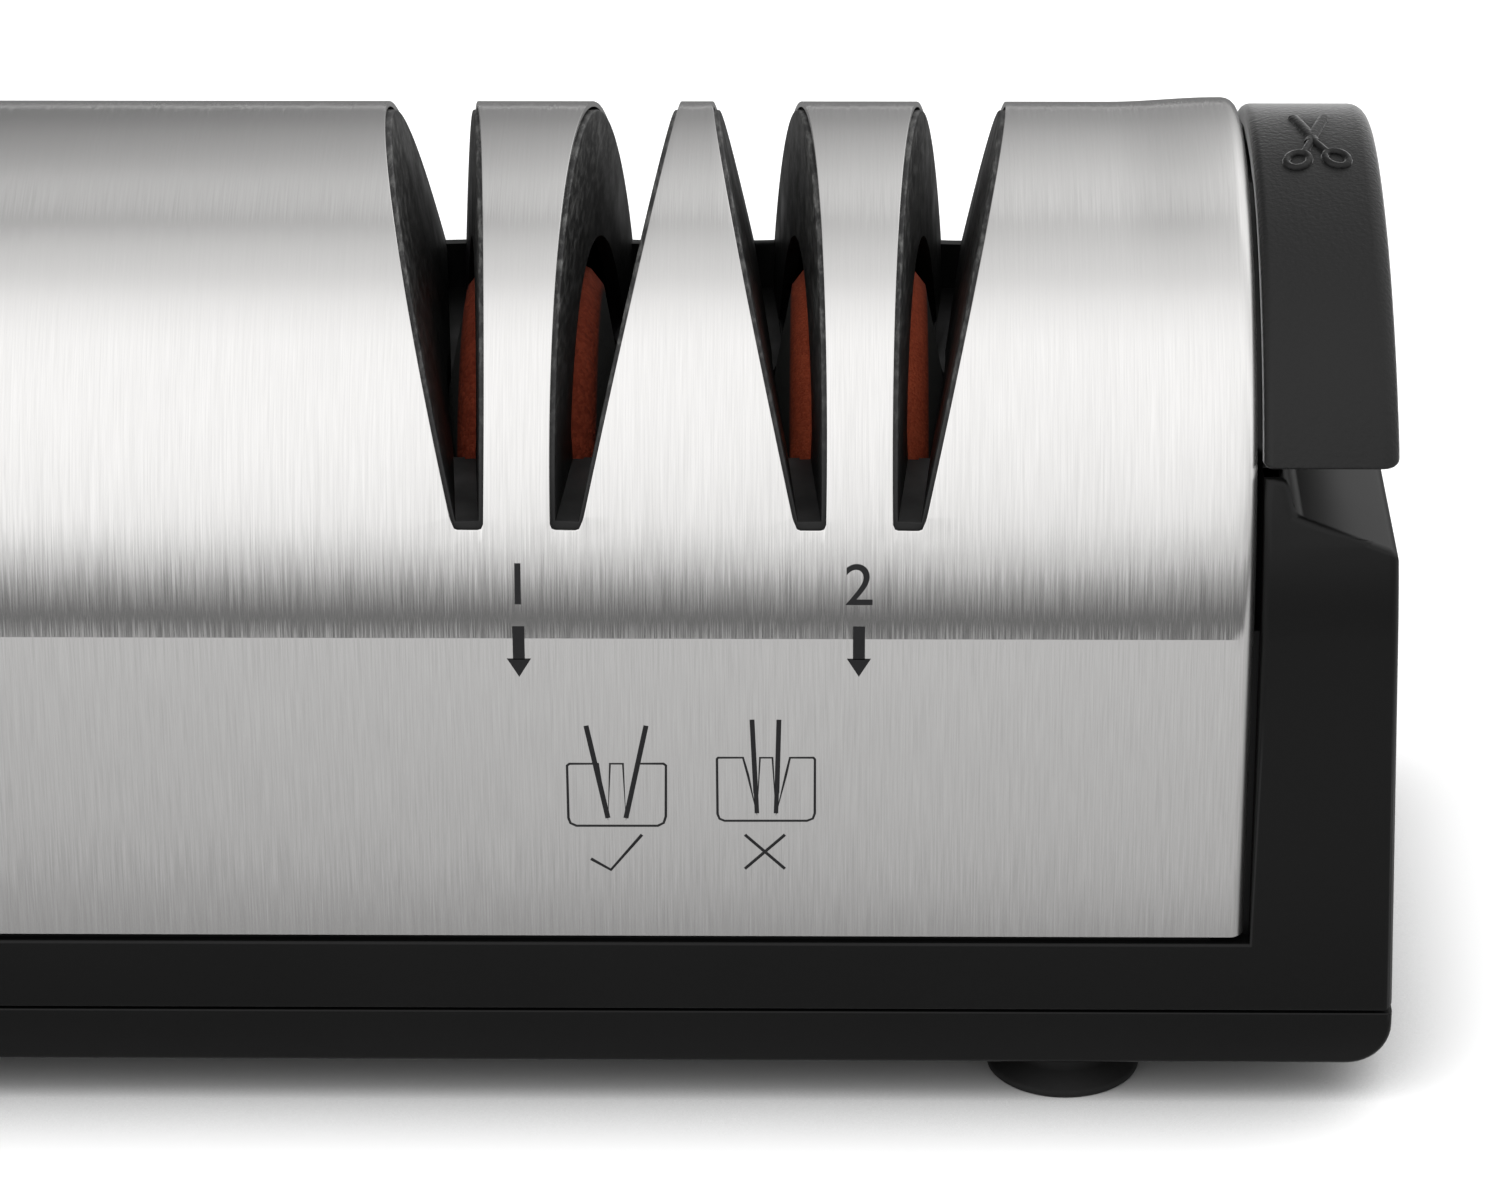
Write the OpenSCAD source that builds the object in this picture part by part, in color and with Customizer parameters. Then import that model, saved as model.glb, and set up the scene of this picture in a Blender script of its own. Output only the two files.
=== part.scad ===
// Electric knife sharpener: two pairs of knife slots and one scissors notch over a motor-driven shaft.
// The body is long in X, its front faces -Y, and its feet stand on Z = 0. Sizes are in millimetres.

/* [Steel shell] */
// Radius of the dome, which is half the depth of the shell
shell_r = 39.5; // [38.5:0.1:41]
// Thickness of the sheet
shell_t = 0.8; // [0.6:0.1:1]
// Height of the straight faces below the dome
shell_skirt = 34.15; // [32:0.05:38]
// Length of the shell
shell_len = 194.8; // [192:0.2:200]
// Depth of the lip turned in at each end
shell_lip = 2; // [1.6:0.1:2.4]

/* [Housing] */
// Length of each end moulding, measured at the seam
end_len = 15; // [14:0.5:17]
// Gap between the shell and an end moulding
end_gap = 0.6; // [0.4:0.1:1]
// Lean of the end faces
end_lean = 1.6; // [0:0.1:2.5]
// How far the mouldings stand proud of the steel
frame_proud = 0.2; // [0:0.1:0.6]
// Wall of the mouldings
wall = 2.4; // [2:0.1:2.8]
// Height of the housing's band below the steel
band_h = 7.75; // [7:0.25:10]
// Gap between the band and the steel's lower edge
rim_gap = 0.75; // [0.5:0.05:1.2]
// How far the inner rib stands up behind the steel
rib_h = 7; // [4:0.5:9]
// Thickness of that rib
rib_t = 1.6; // [1.2:0.1:2]
// Length of the collar that carries each end of the shell
collar_len = 4; // [3:0.5:5]
// Height of the screw bosses in the left end cap
cap_boss_h = 10; // [9:0.5:10.5]

/* [Base tray and feet] */
// Depth of the tray
base_h = 6.35; // [6:0.05:9]
// Radius of the tray's lower corners
corner_r = 4.5; // [3:0.1:5.5]
// Shadow gap between tray and housing
seam_gap = 0.3; // [0.2:0.05:0.5]
// Height of a foot below the tray
foot_h = 4.6; // [4:0.1:6]
// Radius of a foot's rim
foot_r = 8; // [7:0.1:9]
// Radius of a foot's neck
foot_neck_r = 5.6; // [5:0.1:6.2]
// Radius of a foot's stem
foot_stem_r = 2.5; // [2:0.1:3]
// Distance of the feet from the ends
foot_inset_x = 33.6; // [26:0.2:36]
// Distance of the feet from the front and back
foot_inset_y = 8.6; // [8.4:0.1:12]

/* [Knife slots] */
// Place of the coarse pair from the middle of the body
coarse_x = 23.5; // [22:0.1:25]
// Distance from the coarse pair to the fine pair
pair_pitch = 34.25; // [34:0.05:36]
// Height of the slots' ends above the foot of the dome
slot_rise = 11.25; // [10:0.05:13]
// Distance from the pair's middle to a slot's inner edge, at the front
slot_inner = 3.24; // [3:0.01:3.4]
// Width of a slot at its lower front end
slot_w = 3.05; // [2.8:0.05:3.3]
// How far the slots turn outwards towards the back
slot_toe = 4.2; // [3.8:0.1:4.4]
// Lean of the inner walls
inner_lean = 2.2; // [1.5:0.1:3]
// Lean of the outer walls
outer_lean = 11.3; // [10:0.1:12]

/* [Slot guides] */
// How far the guides show inside the steel's edges
guide_lip = 0.45; // [0.3:0.05:0.5]
// Wall of the guides
guide_wall = 1.4; // [1.2:0.1:1.6]
// Depth of the trough below a slot's ends
trough_drop = 4.8; // [4:0.1:5.2]
// Depth of the wheel pocket in front of the wheel's axis
pocket_y = 21.4; // [21.2:0.1:22]
// How far the openings in the guides' walls stand off the wheel
window_gap = 2.9; // [2:0.1:3]
// Thickness of the guide under the steel
liner_t = 1.8; // [1.5:0.1:2.2]
// Width of a guide's legs
leg_w = 24; // [16:1:26]
// Thickness of a guide's legs
leg_t = 2.2; // [1.6:0.1:3]

/* [Scissors notch] */
// Height of the block beside the notch above the foot of the dome
block_rise = 16.9; // [16:0.1:18]
// Gap between the block and the cover
cover_gap = 0.9; // [0.6:0.1:1.5]
// Thickness of the bulkhead beside the notch
bulkhead_t = 2.4; // [2:0.1:3]
// Height of the ramp's upper edge above the foot of the dome
ramp_rise = 13.4; // [12.5:0.1:14]
// Slope of the ramp
ramp_slope = 22; // [15:1:26]
// Lean of the notch's wall
notch_lean = 14; // [8:1:16]
// How far the bulkhead is set back inside the cover
bulkhead_step = 2.8; // [2.6:0.1:3.2]

/* [Grinding wheels] */
// Radius of the knife wheels
wheel_r = 24.4; // [23.8:0.1:24.6]
// Half the thickness of a knife wheel at its rim
wheel_half = 6.6; // [6.2:0.05:6.8]
// Slope of the wheel's two faces
wheel_cone = 11; // [9:0.5:12]
// Rounding of a knife wheel's rim
wheel_edge = 2.4; // [2:0.1:3]
// Height of the shaft's axis below the foot of the dome
axis_drop = 2; // [1:0.1:3]
// Radius of the hubs
hub_r = 6; // [5.5:0.1:6.2]
// Half the length of a knife wheel's hub
hub_half = 10.5; // [10:0.5:11]
// Radius of the disc that carries the stones
web_r = 19; // [16:0.5:20]
// Half the thickness of that disc
web_half = 2.5; // [2:0.1:3]
// Radius of the scissors wheel
scissors_r = 20.5; // [19.6:0.1:21]
// Thickness of the scissors wheel's stone
scissors_t = 4; // [3:0.5:5]

/* [Shaft and bearings] */
// Radius of the wheel shaft
shaft_r = 4; // [3.5:0.1:4.2]
// Outer radius of the bushes
bush_r = 7; // [6.5:0.1:7.5]
// Thickness of the bearing pedestals
pedestal_t = 6; // [5:0.5:7]
// Half the width of a pedestal at its foot
pedestal_half = 16; // [14:0.5:18]
// Place of the left pedestal
left_pedestal_x = -4; // [-5:0.5:-3]
// Distance of the right pedestal from the bulkhead beside the scissors notch
bearing_inset = 19.4; // [18.8:0.1:20.4]

/* [Motor] */
// Radius of the motor's can
motor_r = 21; // [19.5:0.5:21.5]
// Length of the motor's can
motor_len = 58; // [54:1:60]
// Place of the can's drive end
motor_front_x = -27; // [-28:0.5:-26]
// Thickness of the can
can_t = 1.5; // [1:0.1:2]
// Thickness of the magnets
magnet_t = 4; // [3:0.25:4.5]
// Radius of the motor's shaft
motor_shaft_r = 2.5; // [2:0.1:3]
// Radius of the armature
armature_r = 14.8; // [13.5:0.1:15]
// Radius of the cooling fan
fan_r = 19; // [16:0.5:20]
// Length of the end bell
bell_len = 7; // [6:0.5:8]
// Radius of the shaft coupling
coupling_r = 7.5; // [6.5:0.1:8.5]

/* [Chassis] */
// Height of the chassis plate above the tray's floor
chassis_lift = 7; // [6:0.5:8]
// Thickness of the chassis plate
chassis_t = 1.5; // [1.2:0.1:2]
// Gap between the plate and the housing's ribs
chassis_gap = 0.6; // [0.4:0.1:1.5]
// Thickness of a motor saddle
saddle_t = 6; // [5:0.5:7]
// Half the width of a motor saddle
saddle_half = 29; // [28.5:0.1:29.5]
// Thickness of a motor strap
strap_t = 1.2; // [1:0.1:1.6]
// Length of the air opening under the motor
air_len = 44; // [40:1:46]
// Width of the air opening
air_w = 26; // [24:1:26]
// Length of the circuit board
board_len = 34; // [32:1:36]
// Width of the circuit board
board_w = 24; // [22:1:24]

/* [Rocker switch] */
// Place of the switch along the front
switch_x = -62; // [-64:1:-58]
// Width of the switch's bezel
bezel_w = 21; // [20:0.5:23]
// Height of the switch's bezel
bezel_h = 15; // [14:0.5:17]
// How far the bezel stands proud of the steel
bezel_t = 2; // [1.5:0.1:2.4]
// Width of the border round the rocker
bezel_rim = 2; // [1.8:0.1:2.4]
// Depth of the switch's body
switch_depth = 14; // [12:0.5:15]
// Tilt of the rocker each way
rocker_tilt = 11; // [8:1:13]
// Depth of the rocker's pivot behind the steel's face
pivot_depth = 2.3; // [2:0.1:2.6]

/* [Cord gland] */
// Radius of the hole for the cord
cord_r = 3.3; // [3:0.1:3.4]
// Radius of the gland's collar
gland_r = 5.6; // [5.4:0.1:5.8]
// How far the collar stands out of the back
gland_proud = 3.5; // [3:0.1:5]
// Height of the gland above the band
gland_rise = 17; // [16.5:0.5:24]

/* [Fasteners and fits] */
// Radius of a screw's shank
screw_r = 1.5; // [1.2:0.1:1.6]
// Radius of a screw's head
screw_head_r = 2.8; // [2.4:0.1:3]
// Height of a screw's head
screw_head_h = 1.8; // [1.4:0.1:2]
// Radius of a screw boss
boss_r = 3.8; // [3.5:0.1:4]
// How deep a screw goes into what it holds on to
screw_grip = 6; // [5.6:0.1:6.2]
// Height of the circuit board above the chassis plate
board_lift = 4; // [3.6:0.1:4.4]
// Clearance between fixed pieces
fit = 0.1; // [0.05:0.01:0.15]
// Clearance of a screw in the hole that it is driven into
thread_fit = 0.02; // [0.01:0.01:0.05]
// Clearance of a turning shaft
run_fit = 0.05; // [0.03:0.01:0.08]
// Clearance round the turning wheels
wheel_air = 0.6; // [0.5:0.05:0.8]
// Clearance between turning and fixed pieces that lie face to face
turn_gap = 0.3; // [0.3:0.05:0.5]

/* [Hidden] */
$fn = 96;
far = 300;

plastic = "#232323";
rubber = "#2b2b2b";
steel = "#b9babc";

// Heights
tray_z = foot_h;
seam_z = tray_z + base_h;
band_z = seam_z + band_h;
skirt_z = band_z + rim_gap;
dome_z = skirt_z + shell_skirt;
axis_z = dome_z - axis_drop;
slot_z = dome_z + slot_rise;
trough_z = slot_z - trough_drop;
block_z = dome_z + block_rise;
cover_z = block_z + cover_gap;
ramp_z = dome_z + ramp_rise;
floor_z = tray_z + wall;
chassis_z = floor_z + chassis_lift;
deck_z = chassis_z + chassis_t;

// Lengths and depths
shell_half = shell_len / 2;
block_x = shell_half + end_gap;
body_half = block_x + end_len;
frame_r = shell_r + frame_proud;
inner_r = shell_r - shell_t;
collar_r = shell_r - shell_lip - fit;
bulkhead_r = frame_r - bulkhead_step;
bulkhead_x = block_x + bulkhead_t;
right_pedestal_x = bulkhead_x - bearing_inset;
wall_y = frame_r - wall;
fine_x = coarse_x + pair_pitch;
guide_half = pair_pitch / 2 - fit;
guide_r = inner_r - fit;
leg_y = guide_r - rib_t - chassis_gap;
chassis_half = shell_half - 3;
notch_x = bulkhead_x + (block_z - ramp_z) * tan(notch_lean);
screw_x = body_half - wall - boss_r + 0.4;
screw_y = wall_y - boss_r + 0.4;
pilot_r = screw_r + thread_fit;
screw_hole_r = screw_r + fit;

// Puts a YZ outline at x0 and draws it out along X
module along_x(x0, len) {
    translate([x0, 0, 0]) rotate([90, 0, 90]) linear_extrude(len) children();
}

// Puts an XZ outline at y0 and draws it out along Y
module along_y(y0, len) {
    translate([0, y0 + len, 0]) rotate([90, 0, 0]) linear_extrude(len) children();
}

// A round bar along X
module rod_x(x0, len, r) {
    translate([x0, 0, axis_z]) rotate([0, 90, 0]) cylinder(h = len, r = r);
}

// A turned shape about the shaft's axis; the outline is [radius, place along X]
module turned_x(x0, outline) {
    translate([x0, 0, axis_z]) rotate([0, 90, 0]) rotate_extrude() polygon(outline);
}

// The body's cross-section: straight sides below a half circle
module arch(r, z0) {
    translate([-r, z0]) square([2 * r, dome_z - z0]);
    translate([0, dome_z]) intersection() {
        circle(r, $fn = 180);
        translate([-r, 0]) square([2 * r, r]);
    }
}

// An arch with the arch inside it cut away
module arch_ring(r_out, r_in, z0) {
    difference() {
        arch(r_out, z0);
        arch(r_in, z0 - 1);
    }
}

// All that lies between the two leaning end faces, set in by a wall
module between_ends(inset) {
    top = dome_z + shell_r + 10;
    lean = (top - seam_z) * tan(end_lean);
    foot = body_half - inset;
    along_y(-far / 2, far) polygon([
        [-foot, 0], [foot, 0], [foot, seam_z], [foot - lean, top],
        [lean - foot, top], [-foot, seam_z]
    ]);
}

// Four places, mirrored left to right and front to back
module at_corners(x, y) {
    for (sx = [-1, 1], sy = [-1, 1]) translate([sx * x, sy * y, 0]) children();
}

// A screw with its head down at z0
module screw_up(z0, len) {
    translate([0, 0, z0]) {
        cylinder(h = screw_head_h, r = screw_head_r, $fn = 48);
        cylinder(h = len, r = screw_r, $fn = 32);
    }
}

// A screw with its head up, seated at z0
module screw_down(z0, len) {
    translate([0, 0, z0 + screw_head_h]) rotate([180, 0, 0]) screw_up(0, len + screw_head_h);
}

// ---- Knife slots ----

// Outline of the right-hand slot across its own length: both walls set in by trim, from z0 to z1
function slot_points(trim, z0, z1) =
    let (
        a = (slot_inner + trim) * cos(slot_toe),
        b = (slot_inner + slot_w - trim) * cos(slot_toe),
        rise = max(0, z0 - slot_z)
    )
    concat(
        [[a - (z0 - slot_z) * tan(inner_lean), z0], [b + rise * tan(outer_lean), z0]],
        z0 < slot_z ? [[b, slot_z]] : [],
        [[b + (z1 - slot_z) * tan(outer_lean), z1], [a - (z1 - slot_z) * tan(inner_lean), z1]]
    );

// Bars with that outline along both slots of the pair at x
module slot_bars(x, trim, z0, half_len) {
    z1 = dome_z + shell_r + 2;
    translate([x, 0, 0]) for (m = [0, 1]) mirror([m, 0, 0])
        translate([0, -shell_r, 0]) rotate([0, 0, -slot_toe])
            along_y(shell_r - half_len, 2 * half_len) polygon(slot_points(trim, z0, z1));
}

// ---- Housings ----

// Outline of the tray seen from the front, with rounded lower corners
module tray_outline(half, z0, z1, r) {
    translate([-half, z0 + r]) square([2 * half, z1 - z0 - r]);
    translate([-half + r, z0]) square([2 * (half - r), r + 0.01]);
    for (s = [-1, 1]) translate([s * (half - r), z0 + r]) intersection() {
        circle(r);
        translate([-r, -r]) square([2 * r, r + 0.005]);
    }
}

chassis_boss_x = [6.4 - chassis_half, -15, chassis_half - 6.4];
chassis_boss_y = leg_y - boss_r;
vent_count = 9;
vent_pitch = 6;
vent_w = 2.4;
vent_len = 30;

tongue_h = 1.5;

module base_tray() {
    top = seam_z - seam_gap;
    end_x = body_half - wall - fit;
    tongue_x = screw_x - boss_r - turn_gap;
    tongue_y = screw_y - boss_r - turn_gap;
    tongue_t = 1.2;
    color(plastic) difference() {
        union() {
            difference() {
                along_y(-frame_r, 2 * frame_r) tray_outline(body_half, tray_z, top, corner_r);
                along_y(-wall_y, 2 * wall_y)
                    tray_outline(body_half - wall, floor_z, top + 1, corner_r - wall);
            }
            // tongues that locate the housing and close the seam
            for (s = [-1, 1]) {
                translate([-tongue_x, s > 0 ? wall_y - fit - tongue_t : fit - wall_y, floor_z - 0.1])
                    cube([2 * tongue_x, tongue_t, seam_z + tongue_h - floor_z + 0.1]);
                translate([s > 0 ? end_x - tongue_t : -end_x, -tongue_y, floor_z - 0.1])
                    cube([tongue_t, 2 * tongue_y, seam_z + tongue_h - floor_z + 0.1]);
            }
            // bosses under the chassis plate
            for (x = chassis_boss_x, s = [-1, 1]) translate([x, s * chassis_boss_y, floor_z - 0.1])
                cylinder(h = chassis_z - floor_z + 0.1, r = boss_r);
            // bosses that the corner screws pass through
            at_corners(screw_x, screw_y) translate([0, 0, tray_z + 0.5])
                cylinder(h = seam_z - tray_z - 0.5, r = boss_r - fit);
        }
        for (x = chassis_boss_x, s = [-1, 1]) translate([x, s * chassis_boss_y, floor_z + 1])
            cylinder(h = far, r = pilot_r, $fn = 32);
        at_corners(screw_x, screw_y) {
            cylinder(h = far, r = screw_hole_r, $fn = 32);
            cylinder(h = tray_z + screw_head_h + 0.6, r = screw_head_r + 0.3, $fn = 48);
        }
        at_corners(body_half - foot_inset_x, frame_r - foot_inset_y)
            cylinder(h = far, r = foot_stem_r + fit, $fn = 48);
        // air slots under the motor
        for (i = [0 : vent_count - 1])
            translate([motor_front_x - motor_len / 2 + (i - (vent_count - 1) / 2) * vent_pitch, 0, 0])
                translate([-vent_w / 2, -vent_len / 2, 0]) cube([vent_w, vent_len, floor_z + 1]);
    }
}

// Everything above the ramp and to the right of the notch's wall
module notch_space() {
    run = far / 4;
    along_y(-far / 2, far) polygon([
        [bulkhead_x, block_z + 0.01], [notch_x, ramp_z],
        [notch_x + run, ramp_z - run * tan(ramp_slope)], [notch_x + run, far], [bulkhead_x, far]
    ]);
}

wheel_hole_r = scissors_r + wheel_air + 0.3;
cover_screw_r = collar_r - wall - screw_head_r - 1.8;
cover_screw_z = cover_z + boss_r + 0.4;
cover_screw_y = sqrt(pow(cover_screw_r, 2) - pow(cover_screw_z - dome_z, 2));

module main_housing() {
    ramp_drop = wall / cos(ramp_slope);
    color(plastic) difference() {
        union() {
            // band round the foot of the body
            intersection() {
                difference() {
                    translate([-body_half, -frame_r, seam_z]) cube([2 * body_half, 2 * frame_r, band_h]);
                    translate([wall - body_half, -wall_y, seam_z - 1])
                        cube([2 * (body_half - wall), 2 * wall_y, band_h + 2]);
                }
                between_ends(0);
            }
            // block with the scissors ramp
            difference() {
                intersection() {
                    along_x(block_x, end_len) arch(frame_r, seam_z);
                    translate([-far / 2, -far / 2, 0]) cube([far, far, block_z]);
                    between_ends(0);
                }
                intersection() {
                    along_x(bulkhead_x, end_len) arch(wall_y, seam_z - 1);
                    between_ends(wall);
                    translate([0, 0, -ramp_drop]) difference() {
                        translate([0, -far / 2, 0]) cube([far, far, ramp_z + ramp_drop]);
                        notch_space();
                    }
                }
                notch_space();
            }
            // bulkhead behind the cover, and the collar that carries the shell
            along_x(block_x, bulkhead_t) arch(bulkhead_r, seam_z + tongue_h + turn_gap);
            along_x(block_x - collar_len, collar_len) arch_ring(collar_r, collar_r - wall, band_z);
            along_x(block_x - 1, 2) arch_ring(bulkhead_r - fit, collar_r - wall + fit, band_z);
            // ribs behind the steel's lower edge
            for (s = [-1, 1]) translate([0, s * (guide_r - rib_t / 2), band_z - 1])
                translate([-block_x + collar_len, -rib_t / 2, 0])
                    cube([2 * (block_x - collar_len), rib_t, rib_h + 1]);
            at_corners(screw_x, screw_y) translate([0, 0, seam_z]) cylinder(h = band_h, r = boss_r);
        }
        // the tray's tongues stand inside the walls
        translate([block_x - 1, -wall_y, seam_z - 1])
            cube([bulkhead_t + 2, 2 * wall_y, tongue_h + turn_gap + 1]);
        rod_x(block_x - far / 2, far / 2 + bulkhead_t + 0.5, wheel_hole_r);
        translate([screw_x, 0, 0]) for (s = [-1, 1]) translate([0, s * screw_y, 0])
            cylinder(h = band_z - 1.5, r = pilot_r, $fn = 32);
        translate([-screw_x, 0, 0]) for (s = [-1, 1]) translate([0, s * screw_y, 0])
            cylinder(h = far, r = screw_hole_r, $fn = 32);
        for (s = [-1, 1]) translate([0, s * cover_screw_y, cover_screw_z]) rotate([0, 90, 0])
            cylinder(h = far, r = screw_hole_r, $fn = 32);
    }
}

module left_end_cap() {
    color(plastic) difference() {
        union() {
            difference() {
                intersection() {
                    along_x(-body_half, end_len) arch(frame_r, band_z);
                    between_ends(0);
                }
                intersection() {
                    along_x(-body_half, end_len + 1) arch(wall_y, band_z - 1);
                    between_ends(wall);
                }
            }
            // shoulder and collar for the shell
            along_x(-block_x - bulkhead_t, bulkhead_t) arch_ring(frame_r - 1, collar_r - wall, band_z);
            along_x(-block_x - 0.1, collar_len + 0.1) arch_ring(collar_r, collar_r - wall, band_z);
            for (s = [-1, 1]) translate([-screw_x, s * screw_y, band_z]) cylinder(h = cap_boss_h, r = boss_r);
        }
        for (s = [-1, 1]) translate([-screw_x, s * screw_y, 0])
            cylinder(h = band_z + cap_boss_h - 1, r = pilot_r, $fn = 32);
        translate([gland_x, wall_y + wall / 2, gland_z]) rotate([90, 0, 0])
            cylinder(h = 2 * wall, r = gland_neck_r + fit, center = true);
        // louvres beside the motor
        for (i = [-3 : 3]) translate([-body_half - 1, i * 5 - 1, dome_z - 12]) cube([wall + 4, 2, 24]);
    }
}

module steel_shell() {
    hole_w = bezel_w - bezel_rim;
    hole_h = bezel_h - bezel_rim;
    color(steel) difference() {
        union() {
            along_x(-shell_half, shell_len) arch_ring(shell_r, inner_r, skirt_z);
            for (x = [-shell_half, shell_half - shell_t])
                along_x(x, shell_t) arch_ring(shell_r, shell_r - shell_lip, skirt_z);
        }
        for (x = [coarse_x, fine_x]) slot_bars(x, 0, slot_z, 2 * shell_r);
        translate([switch_x - hole_w / 2, -far / 2, switch_z - hole_h / 2])
            cube([hole_w, far / 2, hole_h]);
    }
}

module scissors_cover() {
    boss_len = end_len - bulkhead_t - 2;
    color(plastic) difference() {
        union() {
            difference() {
                intersection() {
                    along_x(block_x, end_len) arch(frame_r, seam_z);
                    between_ends(0);
                    translate([-far / 2, -far / 2, cover_z]) cube(far);
                }
                intersection() {
                    along_x(block_x - 1, end_len + 1) arch(wall_y, seam_z);
                    between_ends(wall);
                }
            }
            intersection() {
                for (s = [-1, 1]) translate([bulkhead_x, s * cover_screw_y, cover_screw_z])
                    rotate([0, 90, 0]) cylinder(h = boss_len, r = boss_r);
                between_ends(wall / 2);
            }
        }
        for (s = [-1, 1]) translate([bulkhead_x - 1, s * cover_screw_y, cover_screw_z])
            rotate([0, 90, 0]) cylinder(h = 8, r = pilot_r, $fn = 32);
        along_x(block_x - 1, bulkhead_t + 1 + fit / 2) arch(bulkhead_r + fit, seam_z);
    }
}

// ---- Slot guides ----

// Room that a knife wheel sweeps, with some air round it
module wheel_room() {
    r = wheel_r + wheel_air;
    hub = wheel_half + wheel_air + r * tan(wheel_cone);
    turned_x(0, [
        [0, -hub], [r, -wheel_half - wheel_air], [r, wheel_half + wheel_air], [0, hub]
    ]);
}

// Arched openings in the inner walls, through which the wheel reaches the blade
module wheel_windows(x) {
    sill = 0.5;
    x0 = (slot_inner + guide_lip) * cos(slot_toe) - guide_wall - 0.5;
    x1 = (slot_inner + slot_w / 2) * cos(slot_toe);
    translate([x, 0, 0]) for (m = [0, 1]) mirror([m, 0, 0])
        translate([0, -shell_r, 0]) rotate([0, 0, -slot_toe]) translate([0, shell_r, 0])
            along_x(x0, x1 - x0) intersection() {
                translate([0, axis_z]) circle(wheel_r + window_gap);
                translate([-pocket_y, trough_z + sill]) square(far);
            }
}

module slot_guide(x) {
    half_drop = trough_z - dome_z;
    wall_z = trough_z - guide_wall;
    long = 2 * shell_r;
    trough_y = sqrt(guide_r * guide_r - half_drop * half_drop) - 2;
    color(plastic) difference() {
        union() {
            // liner under the steel
            along_x(x - guide_half, 2 * guide_half) difference() {
                arch(guide_r, dome_z - 1);
                arch(guide_r - liner_t, dome_z - 2);
                translate([-shell_r, 0]) square([2 * shell_r, wall_z]);
            }
            // walls of the two troughs
            intersection() {
                along_x(x - guide_half, 2 * guide_half) arch(guide_r - liner_t / 2, dome_z - 1);
                slot_bars(x, guide_lip - guide_wall, wall_z, long);
            }
            // legs that stand on the chassis plate
            for (s = [-1, 1]) translate([x, s * (leg_y - leg_t / 2), deck_z])
                translate([-leg_w / 2, -leg_t / 2, 0]) cube([leg_w, leg_t, wall_z + 1 - deck_z]);
        }
        slot_bars(x, guide_lip, slot_z + guide_lip, long);
        intersection() {
            slot_bars(x, guide_lip, trough_z, trough_y);
            translate([x - far / 2, -pocket_y, 0]) cube(far);
        }
        wheel_windows(x);
        translate([x, 0, 0]) wheel_room();
    }
}

module coarse_guide() { slot_guide(coarse_x); }
module fine_guide() { slot_guide(fine_x); }

// ---- Chassis and bearings ----

pedestal_foot = 6;
foot_plate_t = 3;
chassis_screw_at = [for (x = chassis_boss_x, s = [-1, 1]) [x, s * chassis_boss_y]];
pedestal_screw_at = [
    for (x = [left_pedestal_x, right_pedestal_x], dx = [-3, pedestal_t + 3], s = [-1, 1])
        [x + dx, s * (pedestal_half - 3.5)]
];

module chassis_plate() {
    color(steel) difference() {
        translate([-chassis_half, -leg_y, chassis_z]) cube([2 * chassis_half, 2 * leg_y, chassis_t]);
        for (p = concat(chassis_screw_at, pedestal_screw_at, cradle_screw_at)) translate([p[0], p[1], 0])
            cylinder(h = far, r = screw_hole_r, $fn = 32);
        // air opening under the motor
        translate([motor_front_x - motor_len / 2 - air_len / 2, -air_w / 2, 0])
            cube([air_len, air_w, far]);
    }
}

module pedestal(x) {
    cap_r = bush_r + 3;
    color("#3a3a3a") difference() {
        union() {
            along_x(x, pedestal_t) {
                polygon([
                    [-pedestal_half, deck_z], [pedestal_half, deck_z], [pedestal_half, deck_z + 8],
                    [cap_r, axis_z], [-cap_r, axis_z], [-pedestal_half, deck_z + 8]
                ]);
                translate([0, axis_z]) circle(cap_r);
            }
            translate([x - pedestal_foot, -pedestal_half, deck_z])
                cube([pedestal_t + 2 * pedestal_foot, 2 * pedestal_half, foot_plate_t]);
        }
        for (p = pedestal_screw_at) translate([p[0], p[1], deck_z - 1])
            cylinder(h = foot_plate_t + 2, r = screw_hole_r, $fn = 32);
        rod_x(x - 1, pedestal_t + 2, bush_r + fit / 4);
        along_x(x - 1, pedestal_t + 2) translate([-6, deck_z + 9]) square([12, 14]);
    }
}

module bush(x) {
    color("#b08d57") difference() {
        union() {
            rod_x(x - 1, pedestal_t + 2, bush_r);
            rod_x(x - 2, 1.9, bush_r + 1.5);
        }
        rod_x(x - 3, pedestal_t + 6, shaft_r + run_fit);
    }
}

module left_pedestal() { pedestal(left_pedestal_x); }
module right_pedestal() { pedestal(right_pedestal_x); }
module left_bush() { bush(left_pedestal_x); }
module right_bush() { bush(right_pedestal_x); }

// ---- Motor ----

motor_back_x = motor_front_x - motor_len;
core_len = motor_len * 15 / 29;
core_x = motor_front_x - motor_len * 9 / 58 - core_len;
commutator_x = motor_back_x + 3;
commutator_len = 8;
boss_len = 3;
fan_x = motor_front_x + boss_len + 1;
fan_len = 6;
coupling_x = fan_x + fan_len + 1;
coupling_end = left_pedestal_x - 3;
wheel_shaft_x = (coupling_x + coupling_end) / 2;

module motor_can() {
    bore = motor_r - can_t;
    color("#8d9093") difference() {
        union() {
            rod_x(motor_back_x, motor_len, motor_r);
            rod_x(motor_front_x - 0.1, boss_len + 0.1, 8);
        }
        rod_x(motor_back_x - 1, motor_len + 1 - can_t, bore);
        rod_x(motor_front_x - can_t - 1, boss_len + can_t + 2, motor_shaft_r + run_fit);
        // cooling windows in the drive end
        for (a = [0 : 60 : 300]) translate([0, 0, axis_z]) rotate([a, 0, 0])
            translate([motor_front_x - can_t - 1, -3, 11]) cube([can_t + 2, 6, 5]);
    }
}

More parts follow.
